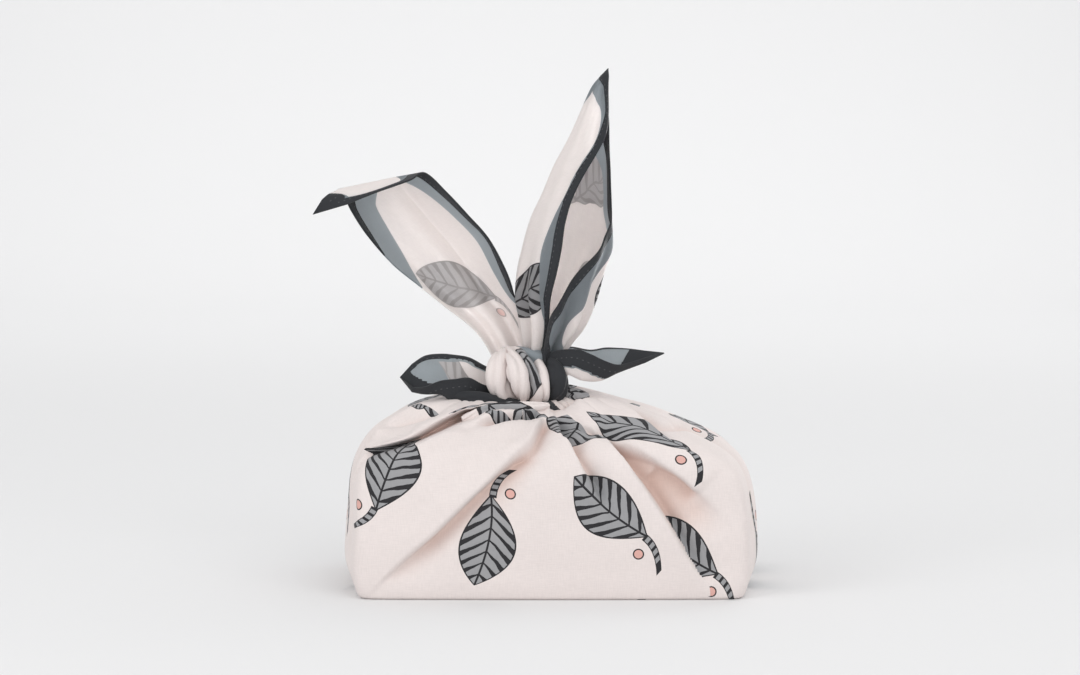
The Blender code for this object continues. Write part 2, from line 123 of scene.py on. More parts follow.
# %% Lights
Softbox = namedtuple("Softbox", "name place aim size spread_deg power")
SOFTBOXES = [
    Softbox("key_softbox", (1.0, -1.9, 1.2), (0, 0, 0.1), 1.4, 180, 11.5),
    Softbox("fill_softbox", (-1.5, -1.3, 0.9), (0, 0, 0.12), 1.2, 180, 10),
    Softbox("top_softbox", (0.5, 0.9, 1.5), (0, 0, 0.12), 1.2, 180, 4),
    Softbox("ear_light", (0.62, 0.95, 0.10), (-0.02, 0, 0.23), 0.20, 14, 0.27),
    Softbox("wall_light", (0.0, 1.8, 1.1), (0.0, 2.0, 0.0), 1.6, 90, 1.8),
]
SKY_LOW = 0.72
SKY_HIGH = 0.86
SKY_TOWARD = (0.55, -0.25, 0.35)
SKY_RANGE = 0.6


def add_lights():
    for box in SOFTBOXES:
        light = bpy.data.lights.new(box.name, "AREA")
        light.size = box.size
        light.spread = math.radians(box.spread_deg)
        light.energy = box.power
        lamp = bpy.data.objects.new(box.name, light)
        lamp.location = box.place
        toward = np.array(box.aim) - np.array(box.place)
        yaw = math.atan2(toward[1], toward[0])
        pitch = math.atan2(math.hypot(toward[0], toward[1]), -toward[2])
        lamp.rotation_euler = (pitch, 0, yaw - math.radians(90))
        bpy.context.scene.collection.objects.link(lamp)


def add_sky():
    """A white room that is brighter towards the right and above."""
    world = bpy.data.worlds.new("studio")
    world.use_nodes = True
    tree = world.node_tree
    place = tree.nodes.new("ShaderNodeTexCoord")
    slant = tree.nodes.new("ShaderNodeVectorMath")
    slant.operation = "DOT_PRODUCT"
    slant.inputs[1].default_value = SKY_TOWARD
    reach = tree.nodes.new("ShaderNodeMapRange")
    reach.inputs["From Min"].default_value = -SKY_RANGE
    reach.inputs["From Max"].default_value = SKY_RANGE
    reach.inputs["To Min"].default_value = SKY_LOW
    reach.inputs["To Max"].default_value = SKY_HIGH
    tree.links.new(place.outputs["Generated"], slant.inputs[0])
    tree.links.new(slant.outputs["Value"], reach.inputs["Value"])
    background = tree.nodes["Background"]
    background.inputs["Color"].default_value = (1, 1, 1, 1)
    tree.links.new(reach.outputs["Result"], background.inputs["Strength"])
    bpy.context.scene.world = world
    bpy.context.scene.view_settings.view_transform = "Standard"


add_lights()
add_sky()
print("lights:", ", ".join(box.name for box in SOFTBOXES))

# %% [markdown]
# ## The printed cotton
# The print is worked out from a map of the cloth, in metres: every point of a patch knows
# where it lies on the flat cloth. The map is divided into square cells, and a cell may hold
# one striped leaf, turned at random. Along the cloth's edges run a near-black hem and a slate
# band. They follow a second value, the distance to the nearest edge, so they turn corners and
# meet in points by themselves. Arithmetic in a shader is easier to read as sums than as
# boxes, so a small helper lets node sockets be added and compared like numbers.

# %% Sums made of nodes
class Wire:
    """A node's output that can be used in sums."""

    def __init__(self, tree, socket):
        self.tree = tree
        self.socket = socket

    def use(self, operation, *others):
        node = self.tree.nodes.new("ShaderNodeMath")
        node.operation = operation
        for slot, value in zip(node.inputs, (self, *others)):
            if isinstance(value, Wire):
                self.tree.links.new(value.socket, slot)
            else:
                slot.default_value = value
        return Wire(self.tree, node.outputs[0])

    def __add__(self, other):
        return self.use("ADD", other)

    def __sub__(self, other):
        return self.use("SUBTRACT", other)

    def __mul__(self, other):
        return self.use("MULTIPLY", other)

    def __truediv__(self, other):
        return self.use("DIVIDE", other)

    def size(self):
        return self.use("ABSOLUTE")

    def less(self, limit):
        return self.use("LESS_THAN", limit)

    def more(self, limit):
        return self.use("GREATER_THAN", limit)

    def ease(self, low, high):
        """0 below low, 1 above high, and a soft step between them."""
        node = self.tree.nodes.new("ShaderNodeMapRange")
        node.interpolation_type = "SMOOTHSTEP"
        self.tree.links.new(self.socket, node.inputs["Value"])
        node.inputs["From Min"].default_value = low
        node.inputs["From Max"].default_value = high
        return Wire(self.tree, node.outputs["Result"])


def mix_colour(tree, share, below, above):
    """One colour over another, by a share from 0 to 1; each is a wire or plain numbers."""
    node = tree.nodes.new("ShaderNodeMix")
    node.data_type = "RGBA"
    if isinstance(share, Wire):
        tree.links.new(share.socket, node.inputs["Factor"])
    else:
        node.inputs["Factor"].default_value = share
    for slot, colour in ((node.inputs[6], below), (node.inputs[7], above)):
        if isinstance(colour, Wire):
            tree.links.new(colour.socket, slot)
        else:
            slot.default_value = (*colour, 1)
    return Wire(tree, node.outputs[2])


def noise(tree, place, scale, detail=2):
    node = tree.nodes.new("ShaderNodeTexNoise")
    node.inputs["Scale"].default_value = scale
    node.inputs["Detail"].default_value = detail
    tree.links.new(place, node.inputs["Vector"])
    return Wire(tree, node.outputs[0])


def attribute(tree, name):
    node = tree.nodes.new("ShaderNodeAttribute")
    node.attribute_name = name
    return Wire(tree, node.outputs["Fac"])


# %% [markdown]
# ## The leaves
# A printed motif could be an image, but an image has a fixed sharpness and has to be kept in a
# file. Here a leaf is a few curves: a striped blade whose outline is one less a square, a bent
# stem with rings, and a bud beside it. Ink lies where a point is close enough to a curve.

# %% Leaf print
CELL = 0.062                    # one leaf to a cell of the print
LEAF_SHIFT = 0.007
LEAF_HALF_LENGTH = 0.0205
LEAF_HALF_WIDTH = 0.0125
LEAF_BEND = 6.0
LEAF_OFF_AXIS = 0.0015
LEAF_FULLER_END = 0.25
PLACE_START = 0.46              # a leaf's place in its cell, as shares of the cell
PLACE_SPREAD = 0.08
STRIPE_PITCH = 0.0052
STRIPE_SLANT = 0.75
STRIPE_START = 0.86
STRIPE_TAPER = 0.42
WAVER_SCALE = 160
WAVER = 0.0016
INK_LINE = 0.0006
STEM_LENGTH = 0.0145
STEM_HALF_WIDTH = 0.0017
STEM_BEND = 38.0
STEM_IN_BLADE = 0.0012
STEM_DARK_END = 0.003
RING_PITCH = 0.0030
RING_SHARE = 0.42
BUD_PLACE = (-0.0225, 0.0075)
BUD_RADIUS = 0.0025
BARE_CELLS = 0.16
HEM_WIDTH = 0.0055
BAND_EDGE = 0.0168
BLUSH = (0.790, 0.718, 0.697)
# painted light: the same blush, paler, for the light that comes through the thin ears and tails
LIT_THROUGH_BLUSH = (0.940, 0.885, 0.865)
# painted shade: the warm, darker colour the ground takes deep in a fold
FOLD_SHADE_BLUSH = (0.700, 0.530, 0.470)      # deep in a fold, where light goes from cloth to cloth
LEAF_GREY = (0.330, 0.330, 0.340)
INK = (0.028, 0.027, 0.030)
PETAL = (0.720, 0.420, 0.370)
CHARCOAL = (0.030, 0.032, 0.036)
SLATE = (0.240, 0.268, 0.290)
SLATE_SHOWING_THROUGH = (0.395, 0.435, 0.460)


def split(tree, vector_socket):
    node = tree.nodes.new("ShaderNodeSeparateXYZ")
    tree.links.new(vector_socket, node.inputs[0])
    return [Wire(tree, output) for output in node.outputs]


def vector_step(tree, operation, *values):
    node = tree.nodes.new("ShaderNodeVectorMath")
    node.operation = operation
    for slot, value in zip(node.inputs, values):
        if isinstance(value, tuple):
            slot.default_value = value
        else:
            tree.links.new(value, slot)
    return node.outputs[0]


def leaf_place(tree, cloth_map):
    """Where a point lies on its cell's leaf, along it and across it, and the cell's dice."""
    scaled = vector_step(tree, "SCALE", cloth_map)
    scaled.node.inputs["Scale"].default_value = 1 / CELL
    cell = vector_step(tree, "FLOOR", scaled)
    within = vector_step(tree, "SUBTRACT", scaled, cell)
    dice = tree.nodes.new("ShaderNodeTexWhiteNoise")
    dice.noise_dimensions = "3D"
    tree.links.new(cell, dice.inputs["Vector"])
    turn, shift_x, shift_y = split(tree, dice.outputs["Color"])
    shift = tree.nodes.new("ShaderNodeCombineXYZ")
    for spot, slot in zip((shift_x, shift_y), shift.inputs):
        tree.links.new((spot * PLACE_SPREAD + PLACE_START).socket, slot)
    centred = vector_step(tree, "SUBTRACT", within, shift.outputs[0])
    turned = tree.nodes.new("ShaderNodeVectorRotate")
    turned.rotation_type = "Z_AXIS"
    tree.links.new(centred, turned.inputs["Vector"])
    tree.links.new((turn * (2 * math.pi)).socket, turned.inputs["Angle"])
    along, across, _ = split(tree, turned.outputs[0])
    return along * CELL, across * CELL, Wire(tree, dice.outputs["Value"])


def blade_ink(tree, cloth_map, along, across):
    """Where a leaf's blade lies, and where its ink is: stripes, outline and midrib."""
    off_middle = (across + along * along * LEAF_BEND - LEAF_OFF_AXIS).size()
    share = along / LEAF_HALF_LENGTH
    width = ((share * share) * -1 + 1) * (share * LEAF_FULLER_END + 1) * LEAF_HALF_WIDTH
    inside = width - off_middle
    wobble = noise(tree, cloth_map, WAVER_SCALE) * WAVER
    lean = (along - off_middle * STRIPE_SLANT + wobble) / STRIPE_PITCH
    wave = (lean.use("FRACT") - 0.5).size() * 2
    stripe = wave.more(off_middle / (width + 0.0001) * -STRIPE_TAPER + STRIPE_START)
    outline = inside.less(INK_LINE * 1.25)
    midrib = off_middle.less(INK_LINE * 0.8)
    return inside.more(0), stripe.use("MAXIMUM", outline).use("MAXIMUM", midrib)


def stem_ink(along, across):
    """Where a leaf's ringed stem lies, and where its ink is: rings, outline and dark end."""
    past = along + LEAF_HALF_LENGTH
    off_middle = (across - past * past * STEM_BEND).size()
    inside = (off_middle * -1 + STEM_HALF_WIDTH).use("MINIMUM", past * -1 + STEM_IN_BLADE)
    inside = inside.use("MINIMUM", past + STEM_LENGTH)
    ring = (past / RING_PITCH).use("FRACT").less(RING_SHARE)
    dark = ring.use("MAXIMUM", inside.less(INK_LINE * 0.7))
    dark = dark.use("MAXIMUM", past.less(STEM_DARK_END - STEM_LENGTH))
    return inside.more(0), dark


def leaf_colours(tree, cloth_map, ground):
    """The ground colour with the leaves, stems and buds printed on it."""
    along, across, dice = leaf_place(tree, cloth_map)
    along = along - LEAF_SHIFT
    printed = dice.more(BARE_CELLS)
    colour = ground
    bud_x, bud_y = along - BUD_PLACE[0], across - BUD_PLACE[1]
    from_bud = (bud_x * bud_x + bud_y * bud_y).use("SQRT")
    bud = mix_colour(tree, from_bud.more(BUD_RADIUS - INK_LINE), PETAL, INK)
    colour = mix_colour(tree, from_bud.less(BUD_RADIUS) * printed, colour, bud)
    for inside, dark in (stem_ink(along, across), blade_ink(tree, cloth_map, along, across)):
        motif = mix_colour(tree, dark, LEAF_GREY, INK)
        colour = mix_colour(tree, inside * printed, colour, motif)
    return colour


# %% [markdown]
# ## The cotton
# Two faces of the cloth are seen. On its face the ink is full, and on its reverse the ink only
# shows through. Noise drawn out along each direction of the threads stands for the weave, and a
# coarser noise for the crumple of washed cotton. Both are bumps, because threads made as
# geometry would need millions of faces. The ears and tails are single cloth, so they let some
# light through, but for the hem, and their ground is painted paler for that light. The bundle
# and the knot are packed, and let none through.

# %% Threads and crumple
THREAD_LENGTH = 0.0045
THREAD_WIDTH = 0.0004
THREAD_SHADE = 0.93
SOFT_MIDDLE = (0.3, 0.7)
WEAVE_BUMP = (0.30, 0.0002)
CRUMPLE_SCALE = 70
CRUMPLE_BUMP = (0.35, 0.0012)


def threads(tree, cloth_map):
    """Uneven threads both ways: fine noise drawn out along each direction of the weave."""
    along, across = 1 / THREAD_LENGTH, 1 / THREAD_WIDTH
    sets = [noise(tree, vector_step(tree, "MULTIPLY", cloth_map, long_way), 1, 1)
            for long_way in ((along, across, 1), (across, along, 1))]
    return (sets[0] + sets[1]) * 0.5


def woven(tree, colour, weave):
    """A colour that is a little darker between the threads."""
    grain = mix_colour(tree, weave.ease(*SOFT_MIDDLE), (THREAD_SHADE,) * 3, (1.0,) * 3)
    node = tree.nodes.new("ShaderNodeMix")
    node.data_type = "RGBA"
    node.blend_type = "MULTIPLY"
    node.inputs["Factor"].default_value = 1.0
    tree.links.new(colour.socket, node.inputs[6])
    tree.links.new(grain.socket, node.inputs[7])
    return node.outputs[2]


def bump(tree, height, strength_and_depth):
    node = tree.nodes.new("ShaderNodeBump")
    node.inputs["Strength"].default_value, node.inputs["Distance"].default_value = strength_and_depth
    tree.links.new(height.socket, node.inputs["Height"])
    return node


# %% Cotton material
MOTTLE_SCALE = 38
MOTTLE_DETAIL = 4
MOTTLE_SHADE = 0.975
LIGHT_THROUGH = 0.42
REVERSE_INK = 0.50
COTTON_FINISH = {"Roughness": 0.88, "Specular IOR Level": 0.25, "Sheen Weight": 0.10,
                 "Sheen Roughness": 0.5}


def printed_colour(tree, cloth_map, distance, ground_colour, ink_share, band):
    """The ground with its mottle and painted shade in deep folds, then the leaves, the slate band and
    the hem.
    """
    shade = noise(tree, cloth_map, MOTTLE_SCALE, MOTTLE_DETAIL).ease(*SOFT_MIDDLE)
    darker = tuple(part * MOTTLE_SHADE for part in ground_colour)
    ground = mix_colour(tree, shade, darker, ground_colour)
    # painted shade: the ground turns warm and darker where the cloth lies deep in a fold
    ground = mix_colour(tree, attribute(tree, "hollow").ease(0, 1), ground, FOLD_SHADE_BLUSH)
    colour = leaf_colours(tree, cloth_map, ground)
    if ink_share < 1:
        colour = mix_colour(tree, 1 - ink_share, colour, ground_colour)
    banded = mix_colour(tree, distance.less(BAND_EDGE), colour, band)
    return mix_colour(tree, distance.less(HEM_WIDTH), banded, CHARCOAL)


def shine_through(tree, surface, colour, share):
    """Lets a share of the light through, in a paler tint of the cloth's own colour."""
    paler = tree.nodes.new("ShaderNodeGamma")
    paler.inputs["Gamma"].default_value = 0.5
    glow = tree.nodes.new("ShaderNodeBsdfTranslucent")
    both = tree.nodes.new("ShaderNodeMixShader")
    for source, target in (
        (colour, paler.inputs["Color"]), (paler.outputs[0], glow.inputs["Color"]),
        (share.socket, both.inputs["Fac"]), (surface.outputs[0], both.inputs[1]),
        (glow.outputs[0], both.inputs[2]),
        (both.outputs[0], tree.nodes["Material Output"].inputs["Surface"]),
    ):
        tree.links.new(source, target)


def cotton_material(name, ground_colour, ink_share, band, light_through):
    """Fine printed cotton, with its share of ink and of the light that goes through."""
    material = bpy.data.materials.new(name)
    material.use_nodes = True
    tree = material.node_tree
    surface = tree.nodes["Principled BSDF"]
    map_node = tree.nodes.new("ShaderNodeUVMap")
    map_node.uv_map = "cloth_map"
    cloth_map = map_node.outputs[0]
    distance = attribute(tree, "edge_distance")
    weave = threads(tree, cloth_map)
    colour = printed_colour(tree, cloth_map, distance, ground_colour, ink_share, band)
    colour = woven(tree, colour, weave)
    tree.links.new(colour, surface.inputs["Base Color"])
    fine = bump(tree, weave, WEAVE_BUMP)
    coarse = bump(tree, noise(tree, cloth_map, CRUMPLE_SCALE), CRUMPLE_BUMP)
    tree.links.new(coarse.outputs[0], fine.inputs["Normal"])
    tree.links.new(fine.outputs[0], surface.inputs["Normal"])
    for finish, value in COTTON_FINISH.items():
        surface.inputs[finish].default_value = value
    shine_through(tree, surface, colour, distance.more(HEM_WIDTH) * light_through)
    return material


PACKED_FACE = cotton_material("printed_cotton_packed", BLUSH, 1.0, SLATE, 0.0)
PRINTED_FACE = cotton_material("printed_cotton_face", LIT_THROUGH_BLUSH, 1.0, SLATE, LIGHT_THROUGH)
REVERSE_FACE = cotton_material("printed_cotton_reverse", LIT_THROUGH_BLUSH, REVERSE_INK,
                               SLATE_SHOWING_THROUGH, LIGHT_THROUGH)
print("nodes in the cotton", len(PRINTED_FACE.node_tree.nodes))

# %% [markdown]
# ## From rows of sizes to cloth
# Every patch starts as a short table, with a row for each section of the cloth. A smooth
# curve through the rows gives as many rows in between as the surface needs. Each patch is
# then a grid of points, and one helper turns grids into a mesh with its map and its edge
# distances. A cloth simulation could drape such patches, but it would choose the folds by
# itself, and here each fold has its place. Solidify gives the ears and tails their thickness.
# The bundle has an inner face of its own, because Solidify's walls would cross at its folds.

# %% Rows and grids
CLOTH_THICKNESS = 0.0007


def smooth_rows(rows, steps):
    """Rows of numbers read from a Catmull-Rom curve, `steps` of them for each gap."""
    rows = np.asarray(rows, float)
    before = np.vstack([2 * rows[:1] - rows[1:2], rows, 2 * rows[-1:] - rows[-2:-1]])
    t = (np.arange(steps) / steps)[:, None]
    out = []
    for gap in range(len(rows) - 1):
        a, b, c, d = before[gap:gap + 4]
        out.append(b + 0.5 * t * (c - a + t * (2 * a - 5 * b + 4 * c - d
                                               + t * (3 * (b - c) + d - a))))
    return np.vstack(out + [rows[-1:]])


def arc_lengths(grid, axis):
    """Distance walked along one axis of a grid of points, from 0 at its start."""
    step = np.linalg.norm(np.diff(grid, axis=axis), axis=-1)
    walked = np.cumsum(step, axis=axis)
    pad = [(0, 0), (0, 0)]
    pad[axis] = (1, 0)
    return np.pad(walked, pad)


def close_ring(grid):
    """A grid whose first column is there again at its end."""
    return np.concatenate([grid, grid[:, :1]], axis=1)


def grid_normals(grid, closed_ring=False):
    """Unit normals of a grid [row, column]; they point out if rows climb and columns turn left."""
    if closed_ring:
        across = np.roll(grid, -1, axis=1) - np.roll(grid, 1, axis=1)
    else:
        across = np.gradient(grid, axis=1)
    normal = np.cross(across, np.gradient(grid, axis=0))
    return normal / np.maximum(np.linalg.norm(normal, axis=-1, keepdims=True), 1e-12)


def printed_edges(distance, black, slate):
    """The edge distance the print reads, for a black hem and a slate band of given widths."""
    black = np.maximum(black, 0.0001)
    slate = np.maximum(slate, 0.0002)
    beyond_hem = HEM_WIDTH + (distance - black) / slate * (BAND_EDGE - HEM_WIDTH)
    return np.where(distance < black, distance / black * HEM_WIDTH, beyond_hem)


Panels = namedtuple("Panels", "number shifts")
Layer = namedtuple("Layer", "grid cloth_map edges closed tip base inward panels",
                   defaults=(False, None, None, False, None))


def layer_faces(layer, first):
    """A layer's points, faces, corner maps and edge distances; its faces count from `first`."""
    rows, columns = layer.grid.shape[:2]
    number = first + np.arange(rows * columns).reshape(rows, columns)
    if layer.closed:
        number = close_ring(number)
    points = [layer.grid.reshape(-1, 3)]
    edges = [layer.edges.reshape(-1)]
    around = [(slice(None, -1), slice(None, -1)), (slice(None, -1), slice(1, None)),
              (slice(1, None), slice(1, None)), (slice(1, None), slice(None, -1))]
    faces = np.stack([number[place] for place in around], axis=-1).reshape(-1, 4).tolist()
    maps = [layer.cloth_map[place] for place in around]
    if layer.panels is not None:
        panel = layer.panels.number[:-1, :-1][None, ..., None]
        maps = [flat + np.take_along_axis(layer.panels.shifts[(slice(None), *place)], panel, 0)[0]
                for flat, place in zip(maps, around)]
    maps = np.stack(maps, axis=2).reshape(-1, 4, 2).tolist()
    for end, row, turn in ((layer.tip, -1, False), (layer.base, 0, True)):
        if end is None:
            continue
        apex = first + sum(len(part) for part in points)
        points.append(np.array([end]))
        edges.append(layer.edges[row].mean(keepdims=True))
        middle = layer.cloth_map[row].mean(axis=0)
        for column in range(number.shape[1] - 1):
            corners = [number[row, column], number[row, column + 1], apex]
            places = [layer.cloth_map[row, column], layer.cloth_map[row, column + 1], middle]
            faces.append(corners[::-1] if turn else corners)
            maps.append(places[::-1] if turn else places)
    if layer.inward:
        faces = [face[::-1] for face in faces]
        maps = [corners[::-1] for corners in maps]
    return np.concatenate(points), faces, maps, np.concatenate(edges)


def cloth_piece(name, layers, face=PRINTED_FACE):
    """A mesh from layers of cloth; an inward layer shows the cloth's reverse."""
    points, faces, maps, edges, reverse = [], [], [], [], []
    for layer in layers:
        more = layer_faces(layer, sum(len(part) for part in points))
        points.append(more[0])
        faces += more[1]
        maps += more[2]
        edges.append(more[3])
        reverse += [int(layer.inward)] * len(more[1])
    mesh = bpy.data.meshes.new(name)
    mesh.from_pydata(np.concatenate(points).tolist(), [], faces)
    layer_map = mesh.uv_layers.new(name="cloth_map")
    layer_map.uv.foreach_set("vector", np.concatenate([np.ravel(corners) for corners in maps]))
    distance = mesh.attributes.new("edge_distance", "FLOAT", "POINT")
    distance.data.foreach_set("value", np.concatenate(edges))
    mesh.materials.append(face)
    mesh.materials.append(REVERSE_FACE)
    mesh.shade_smooth()
    mesh.polygons.foreach_set("material_index", reverse)
    piece = bpy.data.objects.new(name, mesh)
    bpy.context.scene.collection.objects.link(piece)
    print(name, len(faces), "faces")
    return piece


def turned(layer):
    """The same layer with its columns the other way round, so that its faces look back."""
    return layer._replace(grid=layer.grid[:, ::-1], cloth_map=layer.cloth_map[:, ::-1],
                          edges=layer.edges[:, ::-1])


def single_cloth(name, layer):
    """A patch of single cloth with its thickness; its inner wall shows the reverse face."""
    piece = cloth_piece(name, [layer])
    shell = piece.modifiers.new("cloth_thickness", "SOLIDIFY")
    shell.thickness = CLOTH_THICKNESS
    shell.offset = 0.0
    shell.material_offset = 1
    shell.material_offset_rim = 0
    return piece


# %% [markdown]
# ## The bundle's shape
# The cloth lies over a box, so its outline is nearly a rectangle at the base and closes to a
# small round neck under the knot. A superellipse does both: its exponent, here called
# squareness, makes it a soft rectangle or a plain ellipse. A box with bevelled edges could be
# pulled in at its top instead, but its corners would run up to the knot as hard lines. The
# flanks stand out a little between the corners, because the cloth there is slack.

# %% Bundle sections
BodySection = namedtuple("BodySection", "height left right front back squareness side_bulge")
BODY_SECTIONS = [
    BodySection(0.0000, -0.0865, 0.0865, -0.0575, 0.0575, 24.0, 0.025),
    BodySection(0.0015, -0.0885, 0.0885, -0.0592, 0.0592, 28.0, 0.035),
    BodySection(0.0070, -0.0915, 0.0915, -0.0600, 0.0600, 36.0, 0.055),
    BodySection(0.0140, -0.0940, 0.0940, -0.0600, 0.0600, 40.0, 0.075),
    BodySection(0.0270, -0.0935, 0.0940, -0.0605, 0.0605, 46.0, 0.080),
    BodySection(0.0390, -0.0925, 0.0930, -0.0600, 0.0600, 46.0, 0.075),
    BodySection(0.0500, -0.0915, 0.0905, -0.0595, 0.0595, 36.0, 0.070),
    BodySection(0.0590, -0.0890, 0.0855, -0.0580, 0.0580, 18.0, 0.065),
    BodySection(0.0660, -0.0850, 0.0765, -0.0540, 0.0540, 8.0, 0.070),
    BodySection(0.0720, -0.0795, 0.0645, -0.0460, 0.0470, 5.0, 0.080),
    BodySection(0.0780, -0.0705, 0.0505, -0.0370, 0.0390, 3.6, 0.080),
    BodySection(0.0830, -0.0600, 0.0340, -0.0290, 0.0310, 2.8, 0.080),
    BodySection(0.0870, -0.0460, 0.0200, -0.0220, 0.0250, 2.4, 0.080),
    BodySection(0.0900, -0.0300, 0.0090, -0.0160, 0.0190, 2.0, 0.080),
    BodySection(0.0920, -0.0200, 0.0010, -0.0090, 0.0110, 2.0, 0.080),
]
FACE_BULGE = 0.025
LEVELS_PER_GAP = 12
BASE_RINGS = (0.25, 0.5, 0.75, 0.92)
SPACING_HEIGHT = 0.040          # the level at which columns are spaced out
BEARINGS_TRIED = 8001
ColumnSpacing = namedtuple("ColumnSpacing", "bearing_deg spacing")
COLUMN_SPACINGS = [
    ColumnSpacing(-180, 0.0026),
    ColumnSpacing(-155, 0.0008),
    ColumnSpacing(-25, 0.0008),
    ColumnSpacing(0, 0.0024),
    ColumnSpacing(40, 0.0020),
    ColumnSpacing(140, 0.0020),
    ColumnSpacing(180, 0.0026),
]


def section_point(section, bearing):
    """Points of a body section, seen from its middle at the given bearings in radians."""
    height, left, right, front, back, squareness, side_bulge = section
    half = np.array([(right - left) / 2, (back - front) / 2])
    middle = np.array([(right + left) / 2, (back + front) / 2])
    ray = np.stack([np.cos(bearing), np.sin(bearing)], axis=-1)
    reach = (np.abs(ray / half) ** squareness).sum(axis=-1) ** (-1 / squareness)
    share = ray * reach[..., None] / half
    bulge = 1 - np.array([side_bulge, FACE_BULGE]) * share[..., ::-1] ** 2
    plan = middle + half * share * bulge
    return np.concatenate([plan, np.full(plan.shape[:-1] + (1,), height)], axis=-1)


def section_at(height):
    """A body section read off the table, at one height or at many."""
    table = np.array(BODY_SECTIONS)
    return [np.interp(height, table[:, 0], table[:, column]) for column in range(table.shape[1])]


def column_bearings():
    """Bearings of the bundle's columns from the back round the left, spaced as the table says."""
    fine = np.linspace(-np.pi, np.pi, BEARINGS_TRIED) - np.pi / 2
    ring = section_point(section_at(SPACING_HEIGHT), fine)
    step = np.linalg.norm(np.diff(ring, axis=0), axis=1)
    table = np.array(COLUMN_SPACINGS)
    middle = np.degrees((fine[1:] + fine[:-1]) / 2 + np.pi) % 360 - 180
    spacing = np.interp(middle, table[:, 0], table[:, 1])
    walked = np.concatenate([[0], np.cumsum(step / spacing)])
    columns = int(walked[-1])
    return np.interp(np.arange(columns) / columns * walked[-1], walked, fine)


def bundle_grid():
    sections = smooth_rows(BODY_SECTIONS, LEVELS_PER_GAP)
    bearings = column_bearings()
    return np.array([section_point(section, bearings) for section in sections])


BARE_BUNDLE = bundle_grid()
print("bundle's grid, levels and columns:", BARE_BUNDLE.shape[:2])

# %% [markdown]
# ## The bundle's folds
# Each main fold is one row: what face it crosses, what kind it is, how deep and how wide, and
# a few points that it passes through from the knot outwards. A ridge or a trough is a soft
# bell across its line. A lap is where one panel lies over the next: it climbs slowly on one
# side and drops steeply on the other, and at the front its edge leans out over the lower
# panel, which makes the dark line that such folds have. A pocket is a gap between two layers,
# pressed in under a lip. Sculpting would give such folds too, but a table can be read and
# changed, and each fold keeps its name.

